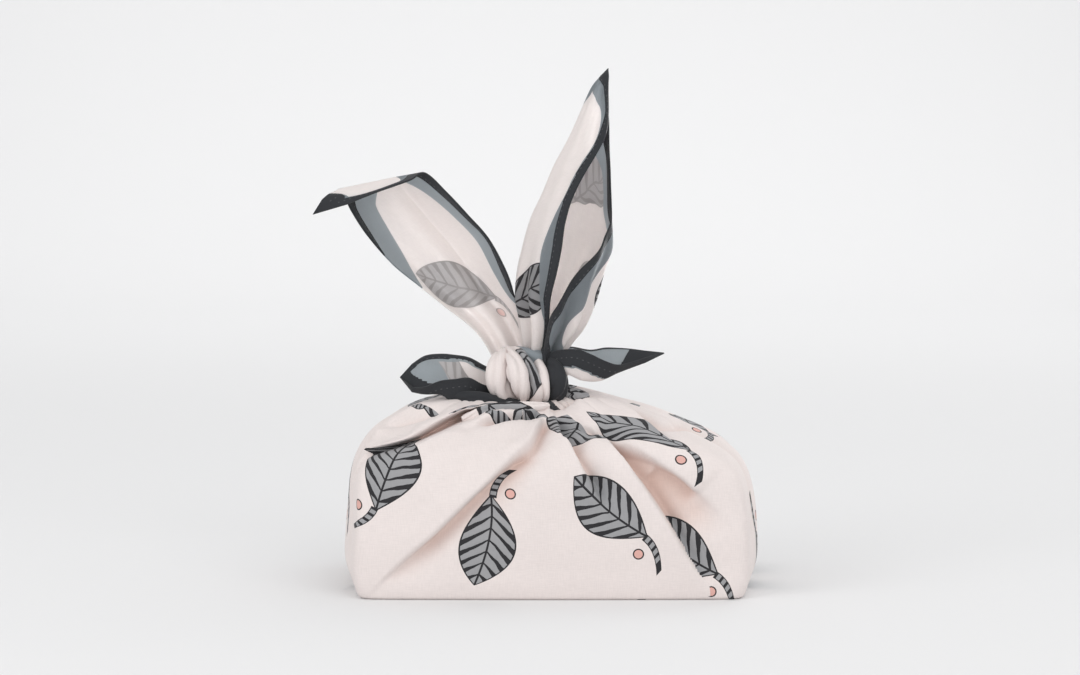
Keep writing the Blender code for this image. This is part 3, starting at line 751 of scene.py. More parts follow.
# %% Main folds
Fold = namedtuple("Fold", "name face kind depth hollow width lean points")
FOLDS = [
    Fold("left_panel_top", "front", "ridge", 0.0030, 0, 0.0036, 0,
         [(-0.0600, 0.0655), (-0.0520, 0.0690), (-0.0440, 0.0720), (-0.0360, 0.0745)]),
    Fold("left_pocket", "front", "pocket", 0.0140, 0.0080, 0.0036, 0,
         [(-0.0810, 0.0656), (-0.0740, 0.0676), (-0.0672, 0.0690), (-0.0606, 0.0706),
          (-0.0540, 0.0732), (-0.0474, 0.0762), (-0.0400, 0.0790), (-0.0328, 0.0812),
          (-0.0252, 0.0827)]),
    Fold("left_shoulder_crease", "front", "trough", 0.0024, 0, 0.0028, 0,
         [(-0.0836, 0.0680), (-0.0725, 0.0748), (-0.0634, 0.0777), (-0.050, 0.0813),
          (-0.041, 0.0838)]),
    Fold("left_shoulder", "front", "ridge", 0.0030, 0, 0.0045, 0,
         [(-0.080, 0.0700), (-0.068, 0.0780), (-0.054, 0.0825), (-0.038, 0.0860)]),
    Fold("left_diagonal", "front", "lap", 0.0030, 0.0058, 0.0076, 0.0010,
         [(-0.0028, 0.0810), (-0.0059, 0.0760), (-0.0081, 0.0710), (-0.0103, 0.0679),
          (-0.0161, 0.0639), (-0.0227, 0.0580), (-0.0284, 0.0524), (-0.0381, 0.0431),
          (-0.0448, 0.0365), (-0.0536, 0.0280), (-0.0603, 0.0222), (-0.0669, 0.0163),
          (-0.0736, 0.0099), (-0.0796, 0.0031)]),
    Fold("left_panel_dip", "front", "trough", 0.0026, 0, 0.0070, 0,
         [(-0.0050, 0.0810), (-0.0205, 0.0702), (-0.0337, 0.0610), (-0.0447, 0.0515),
          (-0.0536, 0.0449)]),
    Fold("centre_left_dip", "front", "trough", 0.0016, 0, 0.0070, 0,
         [(-0.0103, 0.0664), (-0.0182, 0.0493), (-0.0271, 0.0360), (-0.0359, 0.0227)]),
    Fold("centre_crease", "front", "lap", 0.0022, 0.0062, 0.0070, 0.0010,
         [(0.0022, 0.0810), (0.0048, 0.0718), (0.0074, 0.0695), (0.0105, 0.0643), (0.0140, 0.0580),
          (0.0180, 0.0511), (0.0215, 0.0449), (0.0241, 0.0405)]),
    Fold("right_diagonal", "front", "lap", 0.0034, 0.0080, 0.0070, 0.0012,
         [(0.0173, 0.0740), (0.0248, 0.0710), (0.0282, 0.0664), (0.0326, 0.0618), (0.0378, 0.0550),
          (0.0414, 0.0502), (0.0467, 0.0422), (0.0524, 0.0334), (0.0582, 0.0236),
          (0.0645, 0.0137), (0.0712, 0.0044)]),
    Fold("lobe_underside", "front", "lap", 0.0024, 0.0044, 0.0064, 0.0016,
         [(0.0657, 0.0470), (0.0591, 0.0536), (0.0516, 0.0593), (0.0437, 0.0638), (0.0358, 0.0679),
          (0.0283, 0.0709), (0.0217, 0.0736), (0.0151, 0.0760), (0.0075, 0.0783)]),
    Fold("right_lobe", "front", "lap", 0.0036, 0.0060, 0.0054, 0.0016,
         [(0.0062, 0.0843), (0.0221, 0.0838), (0.0311, 0.0816), (0.0376, 0.0780), (0.0419, 0.0747),
          (0.0485, 0.0713), (0.0572, 0.0678)]),
    Fold("right_panel_dip", "front", "trough", 0.0040, 0, 0.0070, 0,
         [(0.0436, 0.0580), (0.0524, 0.0515), (0.0613, 0.0426), (0.0679, 0.0350),
          (0.0755, 0.0247)]),
    Fold("right_back_crease", "front", "trough", 0.0036, 0, 0.0036, 0,
         [(0.0154, 0.0868), (0.0267, 0.0838), (0.0401, 0.0797), (0.0512, 0.0754), (0.0627, 0.0730),
          (0.0716, 0.0710)]),
    Fold("neck_lap", "front", "lap", 0.0024, 0.0056, 0.0034, 0.0010,
         [(-0.0060, 0.0835), (-0.0130, 0.0822), (-0.0210, 0.0806), (-0.0290, 0.0784),
          (-0.0352, 0.0762)]),
    Fold("back_left_diagonal", "back", "lap", 0.0024, 0.0040, 0.0080, 0,
         [(-0.008, 0.084), (-0.018, 0.074), (-0.036, 0.052), (-0.058, 0.026), (-0.080, 0.002)]),
    Fold("back_right_diagonal", "back", "lap", 0.0024, 0.0040, 0.0080, 0,
         [(0.010, 0.083), (0.026, 0.068), (0.046, 0.046), (0.066, 0.022), (0.084, 0.002)]),
    Fold("back_middle_dip", "back", "trough", 0.0016, 0, 0.0080, 0,
         [(0.002, 0.084), (0.000, 0.070), (-0.006, 0.056), (-0.010, 0.044)]),
    Fold("back_rim_dip", "back", "trough", 0.0016, 0, 0.0080, 0,
         [(-0.020, 0.084), (-0.042, 0.074), (-0.066, 0.066)]),
    Fold("left_flank_front", "left", "trough", 0.0018, 0, 0.0080, 0,
         [(-0.010, 0.080), (-0.022, 0.060), (-0.036, 0.034), (-0.050, 0.010)]),
    Fold("left_flank_back", "left", "trough", 0.0018, 0, 0.0080, 0,
         [(0.012, 0.080), (0.024, 0.058), (0.038, 0.032), (0.050, 0.010)]),
    Fold("right_flank_front", "right", "trough", 0.0018, 0, 0.0080, 0,
         [(-0.012, 0.076), (-0.024, 0.056), (-0.038, 0.032), (-0.050, 0.010)]),
    Fold("right_flank_back", "right", "trough", 0.0018, 0, 0.0080, 0,
         [(0.010, 0.076), (0.022, 0.058), (0.036, 0.034), (0.050, 0.010)]),
]

# %% Fold shapes
FOLD_START_HEIGHT = 0.012
FOLD_SAMPLES = 12
FOLD_FADE_IN = 0.05
FOLD_FADE_OUT = {"ridge": 0.40, "trough": 0.40, "lap": 0.30, "pocket": 0.15}
FOLD_END_SHARE = 0.15
LAP_CROWN_SHARE = 2.4
LAP_EDGE_WIDTH = {"front": 0.0018, "back": 0.0070}
LAP_OVERHANG_REACH = 0.0035
FOLD_REACH = 0.012
LIP_PLACE = 2.1
LIP_SPREAD = 1.4
POCKET_OPENING = ((0, 0.4, 0.55, 0.8, 1), (0.45, 0.55, 0.85, 1.1, 0.7))


def on_skin(face, across, height):
    """The point of the bundle's skin at a place across one of its four faces."""
    _, left, right, front, back, squareness, _ = section_at(height)
    along_x = face in ("front", "back")
    low, high = (left, right) if along_x else (front, back)
    near, far = (front, back) if along_x else (left, right)
    share = min(abs(across - (low + high) / 2) / ((high - low) / 2), 0.999)
    reach = (far - near) / 2 * (1 - share ** squareness) ** (1 / squareness)
    side = -1 if face in ("front", "left") else 1
    out = (near + far) / 2 + side * reach
    return (across, out, height) if along_x else (out, across, height)


def place_by_fold(points, normals, fold):
    """Distance from a fold's line (left is positive), its fade, the way left, share along it."""
    line = np.array([on_skin(fold.face, across, height) for across, height in fold.points])
    line = smooth_rows(line, FOLD_SAMPLES)
    share = np.linspace(0, 1, len(line))
    fade = np.minimum(share / FOLD_FADE_IN, (1 - share) / FOLD_FADE_OUT[fold.kind])
    fade = fade.clip(FOLD_END_SHARE, 1)
    tangent = np.gradient(line, axis=0)
    tangent = tangent / np.linalg.norm(tangent, axis=1, keepdims=True)
    squared = ((points[:, None, :] - line[None, :, :]) ** 2).sum(axis=-1)
    nearest = np.argmin(squared, axis=1)
    offset = points - line[nearest]
    off_skin = (offset * normals).sum(axis=1)
    offset = offset - off_skin[:, None] * normals
    along = tangent[nearest]
    left = np.cross(normals, along)
    left = left / np.maximum(np.linalg.norm(left, axis=1, keepdims=True), 1e-9)
    distance = (offset * left).sum(axis=1)
    beyond = np.where((nearest == 0) | (nearest == len(line) - 1), (offset * along).sum(axis=1), 0)
    fade = fade[nearest] * np.exp(-(beyond / (2 * fold.width)) ** 2)
    fade = fade * np.exp(-(off_skin / FOLD_REACH) ** 4)
    return distance, fade, left, share[nearest]


def fold_move(points, normals, fold):
    """How far each point of the skin moves for one fold."""
    distance, fade, left, share = place_by_fold(points, normals, fold)
    bell = np.exp(-(distance / fold.width) ** 2)
    if fold.kind == "ridge":
        return normals * (fold.depth * bell * fade)[:, None]
    if fold.kind == "trough":
        return normals * (-fold.depth * bell * fade)[:, None]
    if fold.kind == "pocket":
        level = normals * np.array([1, 1, 0])
        level = level / np.maximum(np.linalg.norm(level, axis=1, keepdims=True), 1e-9)
        width = fold.width * np.interp(share, *POCKET_OPENING)
        inside = np.exp(-(distance / width) ** 6)
        lip = np.exp(-(distance / width - LIP_PLACE) ** 2 / LIP_SPREAD)
        return level * ((fold.hollow * lip - fold.depth * inside) * fade)[:, None]
    over = np.exp(-(distance / (LAP_CROWN_SHARE * fold.width)) ** 2)
    step = (distance / LAP_EDGE_WIDTH[fold.face] + 0.5).clip(0, 1)
    step = step * step * (3 - 2 * step)
    lift = (fold.depth * over * (1 - step) - fold.hollow * bell * step) * fade
    lean = fold.lean * np.exp(-(distance / LAP_OVERHANG_REACH) ** 2) * (1 - step) * fade
    return normals * lift[:, None] + left * lean[:, None]


# %% [markdown]
# ## Gathers round the neck
# Where the cloth is drawn into the neck it is too wide for it, and falls into small pleats.
# Equal pleats would look like a paper case, so three waves of different counts are added up.
# Sharp valleys between round backs come from the wave's distance to zero. The pleats fade out
# before the box's edge, and the knot presses its own seat into them.

# %% Gathers and the folded skin
Gather = namedtuple("Gather", "count phase share")
GATHERS = [Gather(17, 0.4, 0.5), Gather(29, 2.1, 0.3), Gather(45, 4.0, 0.2)]
GATHER_DEPTH = 0.0030
GATHER_FRONT_SHARE = 0.30
GATHER_START = 0.066
GATHER_FULL = 0.088
NECK_X = -0.009
SEAT_CENTRE = (-0.010, -0.016)
SEAT_RADIUS = 0.017
SEAT_DEPTH = 0.0055
# painted fold shade: the knot's seat counts only in part, and the shade is full at the depth below
SEAT_SHADE = 0.6                # share of the seat's depth that doesn't count as a deep fold
FULL_FOLD_SHADE_DEPTH = 0.0080
SOFTENING_PASSES = 1


def gather_lift(points):
    """Small irregular pleats round the neck, weaker on the front, where folds are placed."""
    bearing = np.arctan2(points[:, 1], points[:, 0] - NECK_X)
    wave = sum(g.share * np.cos(g.count * bearing + g.phase) for g in GATHERS)
    rise = ((points[:, 2] - GATHER_START) / (GATHER_FULL - GATHER_START)).clip(0, 1)
    front = np.where(points[:, 1] < 0, GATHER_FRONT_SHARE, 1.0)
    return -GATHER_DEPTH * (1 - np.abs(wave)) ** 3 * rise ** 1.5 * front


def knot_seat(points):
    """How far the cloth is pressed down where the knot sits on it."""
    away = np.hypot(points[:, 0] - SEAT_CENTRE[0], points[:, 1] - SEAT_CENTRE[1])
    return SEAT_DEPTH * np.exp(-(away / SEAT_RADIUS) ** 2)


def softened(move):
    """The skin's moves averaged with their neighbours, which rounds a fold's sharpest edges."""
    move = move.reshape(BARE_BUNDLE.shape)
    for _ in range(SOFTENING_PASSES):
        move = move / 2 + (np.roll(move, 1, axis=1) + np.roll(move, -1, axis=1)) / 4
        above, below = np.vstack([move[1:], move[-1:]]), np.vstack([move[:1], move[:-1]])
        move = move / 2 + (above + below) / 4
    return move.reshape(-1, 3)


def folded_bundle():
    """The bundle's skin with its folds and gathers, and how deep in a fold each point lies, as its
    share of painted fold shade; the foot ring stays flat.
    """
    points = BARE_BUNDLE.reshape(-1, 3)
    normals = grid_normals(BARE_BUNDLE, closed_ring=True).reshape(-1, 3)
    move = sum(fold_move(points, normals, fold) for fold in FOLDS)
    move = move + normals * gather_lift(points)[:, None]
    move[:, 2] -= knot_seat(points)
    move = softened(move)
    above_base = (points[:, 2] / FOLD_START_HEIGHT).clip(0, 1)
    moved = (points + move * above_base[:, None]).reshape(BARE_BUNDLE.shape)
    moved[0] = BARE_BUNDLE[0]
    # how deep each point lies in a fold, as a share, for the painted fold shade
    inward = -((moved.reshape(-1, 3) - points) * normals).sum(axis=1) - knot_seat(points) * SEAT_SHADE
    return moved, (inward / FULL_FOLD_SHADE_DEPTH).clip(0, 1).reshape(BARE_BUNDLE.shape[:2])


SKIN, FOLD_SHADE_SHARE = folded_bundle()
DEEPEST_MOVE_MM = float(np.abs(SKIN - BARE_BUNDLE).max()) * 1000
print("folds move the skin by up to", round(DEEPEST_MOVE_MM, 1), "mm")

# %% [markdown]
# ## The bundle as cloth
# The map of the bundle is measured on the bare shape: across is the distance walked round
# each level from the middle of the front, and up is the distance climbed from the base. An
# unwrap by Blender would do too, but then sizes on the map would not be metres of cloth. On
# folded cloth the print is cut at each lap, so the bundle has four panels, parted by its four
# diagonals, and beyond a diagonal the map jumps by a fixed step. The back's panel is measured
# from the middle of the back, where the two ends of the front's map would not meet.

# %% Bundle cloth
FRONT, LEFT, RIGHT, BACK = range(4)
PANEL_JUMPS = {FRONT: (0, 0), LEFT: (0.043, 0.046), RIGHT: (0.035, 0.018), BACK: (0.217, 0.005)}
FRONT_BEARING_DEG = -90
BUNDLE_PRINT_SHIFT = (-0.002, -0.005)
LINING_STEP = 2
FRONT_LEVEL = 20                # the level at which the middle of the front is looked for
FAR_FROM_EDGE = 1.0
GATHERED_WIDTH = 1.6
# a near-black patch just under the knot: hem and dark cloth, and partly painted shade under the knot
HEM_AND_SHADE_BEARINGS = (-75, -60)
HEM_AND_SHADE_LOWEST = 0.085


def bundle_map(grid):
    """The flat-cloth place of every point, with one more column to close the ring."""
    closed = close_ring(grid)
    around = arc_lengths(closed, axis=1)
    bearing = np.degrees(np.arctan2(closed[FRONT_LEVEL, :, 1], closed[FRONT_LEVEL, :, 0]))
    front = np.argmin(np.abs(bearing - FRONT_BEARING_DEG))
    across = around - around[:, front:front + 1]
    up = arc_lengths(closed, axis=0)
    rise = ((closed[..., 2] - GATHER_START) / (GATHER_FULL - GATHER_START)).clip(0, 1)
    flat = np.stack([across * (1 + GATHERED_WIDTH * rise ** 2), up], axis=-1)
    return flat + np.array(BUNDLE_PRINT_SHIFT)


def turn_from_front(points):
    """Degrees round the bundle from the middle of its front; the right flank is at 90."""
    section = section_at(points[..., 2])
    x = points[..., 0] - (section[1] + section[2]) / 2
    y = points[..., 1] - (section[3] + section[4]) / 2
    return (np.degrees(np.arctan2(y, x)) - FRONT_BEARING_DEG + 180) % 360 - 180


def fold_turn(name, heights):
    """How far round a fold's line lies at each height."""
    fold = next(fold for fold in FOLDS if fold.name == name)
    line = smooth_rows([on_skin(fold.face, *point) for point in fold.points], FOLD_SAMPLES)
    line = line[np.argsort(line[:, 2])]
    return np.interp(heights, line[:, 2], turn_from_front(line))


def bundle_panels(grid, flat):
    """Which panel each point lies in, and how far each panel's map is shifted there."""
    closed = close_ring(grid)
    turn, height = turn_from_front(closed), closed[..., 2]
    turn[:, 0], turn[:, -1] = -180, 180
    number = np.full(turn.shape, FRONT)
    number[turn < fold_turn("left_diagonal", height)] = LEFT
    number[turn > fold_turn("right_diagonal", height)] = RIGHT
    number[turn < fold_turn("back_left_diagonal", height)] = BACK
    number[turn > fold_turn("back_right_diagonal", height)] = BACK
    shifts = np.array([np.full(flat.shape, 1.0) * PANEL_JUMPS[panel] for panel in range(4)])
    from_back = np.where(turn < 0, flat[:, :1, 0], flat[:, -1:, 0])
    shifts[BACK, ..., 0] -= from_back
    return number, shifts


def with_base(rows):
    """Adds rows for the base's rings, from near its middle out to the foot."""
    middle = rows[0].mean(axis=0)
    return np.concatenate([[middle + (rows[0] - middle) * share for share in BASE_RINGS], rows])


def inner_grid():
    """The inner face: each point takes the deepest move near it, so it never shows outside."""
    normals = grid_normals(BARE_BUNDLE, closed_ring=True)
    deepest = SKIN - BARE_BUNDLE
    for axis, count in enumerate(BARE_BUNDLE.shape[:2]):
        move, depth = deepest, (deepest * normals).sum(axis=-1)
        for step in (-2, -1, 1, 2):
            place = np.arange(count) + step
            place = place % count if axis == 1 else place.clip(0, count - 1)
            near = np.take(move, place, axis=axis)
            near_depth = (near * normals).sum(axis=-1)
            deepest = np.where((near_depth < depth)[..., None], near, deepest)
            depth = np.minimum(depth, near_depth)
    inner = with_base(BARE_BUNDLE + deepest - normals * CLOTH_THICKNESS)
    inner[..., 2] = np.maximum(inner[..., 2], CLOTH_THICKNESS)
    return inner


def hem_and_shade_under_knot(grid):
    """Edge distances of the bundle: far from any edge, but for a hem that comes out of the knot,
    drawn as a near-black patch that is partly painted shade under the knot.
    """
    bearing = np.degrees(np.arctan2(grid[..., 1], grid[..., 0] - NECK_X))
    shown = (bearing > HEM_AND_SHADE_BEARINGS[0]) & (bearing < HEM_AND_SHADE_BEARINGS[1]) & (grid[..., 2] > HEM_AND_SHADE_LOWEST)
    return np.where(shown, HEM_WIDTH / 2, FAR_FROM_EDGE)


def build_bundle():
    """The bundle's outer face, and a coarser inner face one cloth's thickness inside it."""
    grid = with_base(SKIN)
    flat = bundle_map(BARE_BUNDLE)
    number, shifts = bundle_panels(BARE_BUNDLE, flat)
    number = np.concatenate([np.repeat(number[:1], len(BASE_RINGS), axis=0), number])
    face = Layer(grid, with_base(flat), hem_and_shade_under_knot(with_base(BARE_BUNDLE)), True,
                 grid[-1].mean(axis=0), SKIN[0].mean(axis=0),
                 panels=Panels(number, np.array([with_base(shift) for shift in shifts])))
    within = inner_grid()
    columns = [*range(0, grid.shape[1], LINING_STEP), grid.shape[1]]
    down = np.array([0, 0, CLOTH_THICKNESS])
    lining = face._replace(grid=within[::LINING_STEP, ::LINING_STEP], inward=True,
                           cloth_map=face.cloth_map[::LINING_STEP][:, columns],
                           edges=face.edges[::LINING_STEP, ::LINING_STEP], panels=None,
                           tip=face.tip - down, base=face.base + down)
    piece = cloth_piece("bundle_cloth", [face, lining], PACKED_FACE)
    # the hollow attribute carries the share of painted fold shade to the outer face
    hollow = np.zeros(len(piece.data.vertices))
    hollow[:grid.shape[0] * grid.shape[1]] = with_base(FOLD_SHADE_SHARE[..., None]).ravel()
    piece.data.attributes.new("hollow", "FLOAT", "POINT").data.foreach_set("value", hollow)
    return piece


bundle = build_bundle()

# %% [markdown]
# ## The left ear
# This corner of the cloth stands up and leans left as a hollow blade, open to the front. A flat
# sheet could be bent by a lattice or a cloth simulation, but its hems are what shows most, and a
# table puts them in their places. Each row gives the two edges, how far the cloth sags behind
# them, and how deep its pleats are. The sag is partly round and partly creased along one line.
# Near its top the corner folds forward over a crease. Low down, the edges curl behind, so their
# hems are out of sight: the curl columns say how much cloth is hidden there.

# %% Left ear
BladeRow = namedtuple("BladeRow", "outer_edge hem_edge sag pleat outer_curl outer_black outer_slate "
                                  "hem_curl hem_black hem_slate")
LEFT_EAR = [
    BladeRow((-0.019, 0.006, 0.086), (-0.006, -0.002, 0.086), 0.003, 0.0010,
             0.060, 0.004, 0.011, 0.030, 0.004, 0.005),
    BladeRow((-0.025, 0.000, 0.100), (-0.008, 0.002, 0.104), 0.006, 0.0032,
             0.060, 0.004, 0.011, 0.030, 0.004, 0.005),
    BladeRow((-0.034, 0.003, 0.114), (-0.013, 0.004, 0.119), 0.008, 0.0036,
             0.040, 0.004, 0.011, 0.020, 0.004, 0.004),
    BladeRow((-0.0490, 0.005, 0.126), (-0.0165, 0.003, 0.130), 0.012, 0.0034,
             0.024, 0.004, 0.011, 0.004, 0.004, 0.004),
    BladeRow((-0.0600, 0.004, 0.135), (-0.0200, -0.003, 0.1415), 0.016, 0.0032,
             0.014, 0.004, 0.011, 0.000, 0.004, 0.008),
    BladeRow((-0.0720, 0.002, 0.145), (-0.0280, -0.007, 0.157), 0.020, 0.0030,
             0.006, 0.004, 0.012, 0.000, 0.002, 0.010),
    BladeRow((-0.0830, -0.002, 0.158), (-0.0375, -0.008, 0.168), 0.022, 0.0030,
             0.001, 0.004, 0.012, 0.000, 0.004, 0.010),
    BladeRow((-0.0900, -0.005, 0.169), (-0.0470, -0.006, 0.1780), 0.020, 0.0022,
             0.000, 0.004, 0.012, 0.000, 0.006, 0.011),
    BladeRow((-0.0950, -0.007, 0.1790), (-0.0570, -0.003, 0.1868), 0.008, 0.0006,
             0.000, 0.004, 0.011, 0.000, 0.006, 0.009),
    BladeRow((-0.0975, -0.012, 0.1786), (-0.0640, -0.011, 0.1838), 0.001, 0.0000,
             0.020, 0.002, 0.000, 0.000, 0.0044, 0.000),
    BladeRow((-0.1004, -0.016, 0.1775), (-0.0790, -0.016, 0.1785), 0.000, 0.0000,
             0.000, 0.006, 0.000, 0.000, 0.0036, 0.000),
    BladeRow((-0.1030, -0.018, 0.1755), (-0.0915, -0.019, 0.1735), 0.000, 0.0000,
             0.000, 0.0100, 0.004, 0.000, 0.0100, 0.004),
]
LEFT_EAR_TIP = (-0.107, -0.021, 0.169)
EAR_ROWS_PER_GAP = 14
EAR_COLUMNS = 72
PLEATS_ACROSS = 3.5
CREASE_PLACE = 0.60
CREASE_SHARE = 0.55
BACKWARD = np.array([0, 1, 0])
LEFT_EAR_PRINT_SHIFT = (-0.091, 0.036)


def ear_print(grid, hems, print_shift):
    """The cloth map of an ear and its edge distances; hems: curl, black and slate, both sides."""
    across = arc_lengths(grid, axis=1)
    width = across[:, -1:]
    along = arc_lengths(grid, axis=0)
    cloth_map = np.stack([across - width / 2, along], axis=-1) + np.array(print_shift)
    curl_1, black_1, slate_1, curl_2, black_2, slate_2 = (hems[:, i:i + 1] for i in range(6))
    edges = np.minimum(printed_edges(across + curl_1, black_1, slate_1),
                       printed_edges(width - across + curl_2, black_2, slate_2))
    return cloth_map, edges


def blade_grid(rows):
    """Grid of a hollowed blade: a chord with its sag and its pleats, for each row."""
    table = [list(row.outer_edge) + list(row.hem_edge) + list(row[2:]) for row in rows]
    across = np.linspace(0, 1, EAR_COLUMNS + 1)[:, None]
    grid = []
    hems = []
    for row in smooth_rows(table, EAR_ROWS_PER_GAP):
        outer, hem, (sag, pleat) = row[:3], row[3:6], row[6:8]
        round_sag = 4 * across * (1 - across)
        creased_sag = np.minimum(across / CREASE_PLACE, (1 - across) / (1 - CREASE_PLACE))
        behind = sag * (CREASE_SHARE * creased_sag + (1 - CREASE_SHARE) * round_sag)
        behind = behind + pleat * np.sin(across * np.pi * PLEATS_ACROSS)
        grid.append(outer + (hem - outer) * across + behind * BACKWARD)
        hems.append(row[8:])
    return np.array(grid), np.array(hems)


def build_ear(name, grid, hems, print_shift, tip):
    cloth_map, edges = ear_print(grid, hems, print_shift)
    return single_cloth(name, turned(Layer(grid, cloth_map, edges, tip=tip)))


LEFT_EAR_CLOTH = blade_grid(LEFT_EAR)
left_ear = build_ear("left_ear", *LEFT_EAR_CLOTH, LEFT_EAR_PRINT_SHIFT, LEFT_EAR_TIP)

# %% [markdown]
# ## The right ear
# The opposite corner is rolled into a tall cone. Each row is an arc of an ellipse seen from
# above: it starts at the front hem, runs round the left and the back, and ends at the hem on
# the right. The gap between the two hems is the mouth that shows the cone's inside. Low down
# the arc is about a full turn, which closes the mouth. A cone cut open would be quicker, but
# both hems wander up the ear, and the rows let them.

# %% Right ear
ConeRow = namedtuple("ConeRow", "height left right front back front_hem_deg side_hem_deg "
                                "front_black front_slate side_black side_slate pleat")
RIGHT_EAR = [
    ConeRow(0.086, -0.010, 0.000, -0.005, 0.006, -100, -400, 0.0010, 0.0000, 0.0045, 0.011, 0.0018),
    ConeRow(0.104, -0.010, 0.004, -0.010, 0.010, -100, -450, 0.0016, 0.0000, 0.0045, 0.011, 0.0024),
    ConeRow(0.117, -0.0115, 0.013, -0.015, 0.014, -102, -462, 0.0026, 0.0000, 0.0045, 0.011, 0.0026),
    ConeRow(0.130, -0.0145, 0.019, -0.018, 0.018, -100, -444, 0.0038, 0.0015, 0.0045, 0.012, 0.0020),
    ConeRow(0.142, -0.0145, 0.023, -0.021, 0.020, -96, -426, 0.0046, 0.0035, 0.0048, 0.012, 0.0012),
    ConeRow(0.153, -0.0125, 0.027, -0.022, 0.020, -98, -404, 0.0046, 0.0045, 0.0052, 0.011, 0.0008),
    ConeRow(0.166, -0.009, 0.027, -0.021, 0.018, -98, -368, 0.0042, 0.0020, 0.0056, 0.008, 0.0005),
    ConeRow(0.178, -0.0035, 0.027, -0.019, 0.016, -95, -358, 0.0040, 0.0000, 0.0056, 0.005, 0.0004),
    ConeRow(0.190, 0.0015, 0.027, -0.016, 0.013, -78, -352, 0.0042, 0.0000, 0.0050, 0.005, 0.0003),
    ConeRow(0.202, 0.008, 0.027, -0.012, 0.010, -50, -338, 0.0042, 0.0000, 0.0050, 0.010, 0.0003),
    ConeRow(0.214, 0.0135, 0.027, -0.009, 0.008, -30, -325, 0.0036, 0.0020, 0.0045, 0.0145, 0.0003),
    ConeRow(0.225, 0.0185, 0.0265, -0.005, 0.005, -30, -320, 0.0036, 0.0060, 0.0060, 0.0100, 0.0003),
    ConeRow(0.2305, 0.0226, 0.0262, -0.002, 0.002, -30, -320, 0.0060, 0.0020, 0.0060, 0.0020, 0.0000),
]
RIGHT_EAR_TIP = (0.026, 0.000, 0.234)
CONE_PLEATS = 9
CONE_PLEAT_PHASE = 1.0
CONE_COLUMNS = 110
RIGHT_EAR_PRINT_SHIFT = (-0.053, 0.046)


def cone_grid(rows):
    """Grid of a rolled cone: an arc of an ellipse in plan for each row."""
    share = np.linspace(0, 1, CONE_COLUMNS + 1)
    grid = []
    hems = []
    for row in smooth_rows(rows, EAR_ROWS_PER_GAP):
        cone = ConeRow(*row)
        angle = np.radians(cone.front_hem_deg + (cone.side_hem_deg - cone.front_hem_deg) * share)
        wave = cone.pleat * np.cos(CONE_PLEATS * angle + CONE_PLEAT_PHASE)
        x = (cone.left + cone.right) / 2 + ((cone.right - cone.left) / 2 + wave) * np.cos(angle)
        y = (cone.front + cone.back) / 2 + ((cone.back - cone.front) / 2 + wave) * np.sin(angle)
        grid.append(np.stack([x, y, np.full_like(x, cone.height)], axis=-1))
        hems.append([0, cone.front_black, max(cone.front_slate, 0),
                     0, cone.side_black, cone.side_slate])
    return np.array(grid), np.array(hems)


RIGHT_EAR_CLOTH = cone_grid(RIGHT_EAR)
right_ear = build_ear("right_ear", *RIGHT_EAR_CLOTH, RIGHT_EAR_PRINT_SHIFT, RIGHT_EAR_TIP)

# %% [markdown]
# ## The tails
# The two tied corners end as short tails. Each is a trough of cloth, open upwards: a row gives
# the top of its near wall, its keel and the top of its far wall. A curve with a bevel would be
# closed all round, and the open mouth is what shows the printed inside. The hem goes round the
# tip as well, so a tail reads three edge distances and takes the smallest.

# %% Tails
TroughRow = namedtuple("TroughRow", "near keel far")
LEFT_TAIL = [
    TroughRow((-0.0150, -0.010, 0.090), (-0.0150, -0.008, 0.083), (-0.0150, 0.000, 0.095)),
    TroughRow((-0.0285, -0.0140, 0.0909), (-0.0286, -0.0110, 0.0833), (-0.0278, -0.0020, 0.0979)),
    TroughRow((-0.0366, -0.0200, 0.0951), (-0.0389, -0.0160, 0.0829), (-0.0369, -0.0030, 0.1026)),
    TroughRow((-0.0433, -0.0210, 0.0947), (-0.0457, -0.0180, 0.0854), (-0.0437, -0.0040, 0.1040)),
    TroughRow((-0.0501, -0.0210, 0.0938), (-0.0502, -0.0170, 0.0880), (-0.0505, -0.0040, 0.1045)),
    TroughRow((-0.0569, -0.0190, 0.0909), (-0.0570, -0.0150, 0.0882), (-0.0573, -0.0050, 0.1037)),
    TroughRow((-0.0625, -0.0150, 0.0901), (-0.0630, -0.0120, 0.0888), (-0.0632, -0.0060, 0.1001)),
]
LEFT_TAIL_TIP = (-0.0685, -0.0100, 0.0946)
LEFT_TAIL_BANDS = (0.012, 0.003, 0, 0.004, 0.013)
LEFT_TAIL_PRINT_SHIFT = (-0.051, 0.067)
RIGHT_TAIL = [
    TroughRow((-0.0100, -0.008, 0.100), (-0.0100, -0.006, 0.094), (-0.0100, 0.001, 0.101)),
    TroughRow((-0.0005, -0.0120, 0.1061), (-0.0005, -0.0100, 0.0969), (-0.0004, 0.0000, 0.1060)),
    TroughRow((0.0108, -0.0190, 0.1081), (0.0077, -0.0160, 0.0965), (0.0087, -0.0010, 0.1074)),
    TroughRow((0.0175, -0.0210, 0.1061), (0.0144, -0.0170, 0.0939), (0.0178, -0.0020, 0.1061)),
    TroughRow((0.0243, -0.0200, 0.1028), (0.0221, -0.0150, 0.0937), (0.0246, -0.0030, 0.1072)),
    TroughRow((0.0298, -0.0180, 0.1008), (0.0299, -0.0130, 0.0971), (0.0300, -0.0040, 0.1072)),
    TroughRow((0.0357, -0.0150, 0.1014), (0.0358, -0.0110, 0.0992), (0.0359, -0.0050, 0.1069)),
    TroughRow((0.0426, -0.0120, 0.1034), (0.0426, -0.0100, 0.1014), (0.0427, -0.0060, 0.1061)),
]
RIGHT_TAIL_TIP = (0.0513, -0.0090, 0.1054)
RIGHT_TAIL_BANDS = (0.0085, 0.0005, 0.014, 0.016, 0)
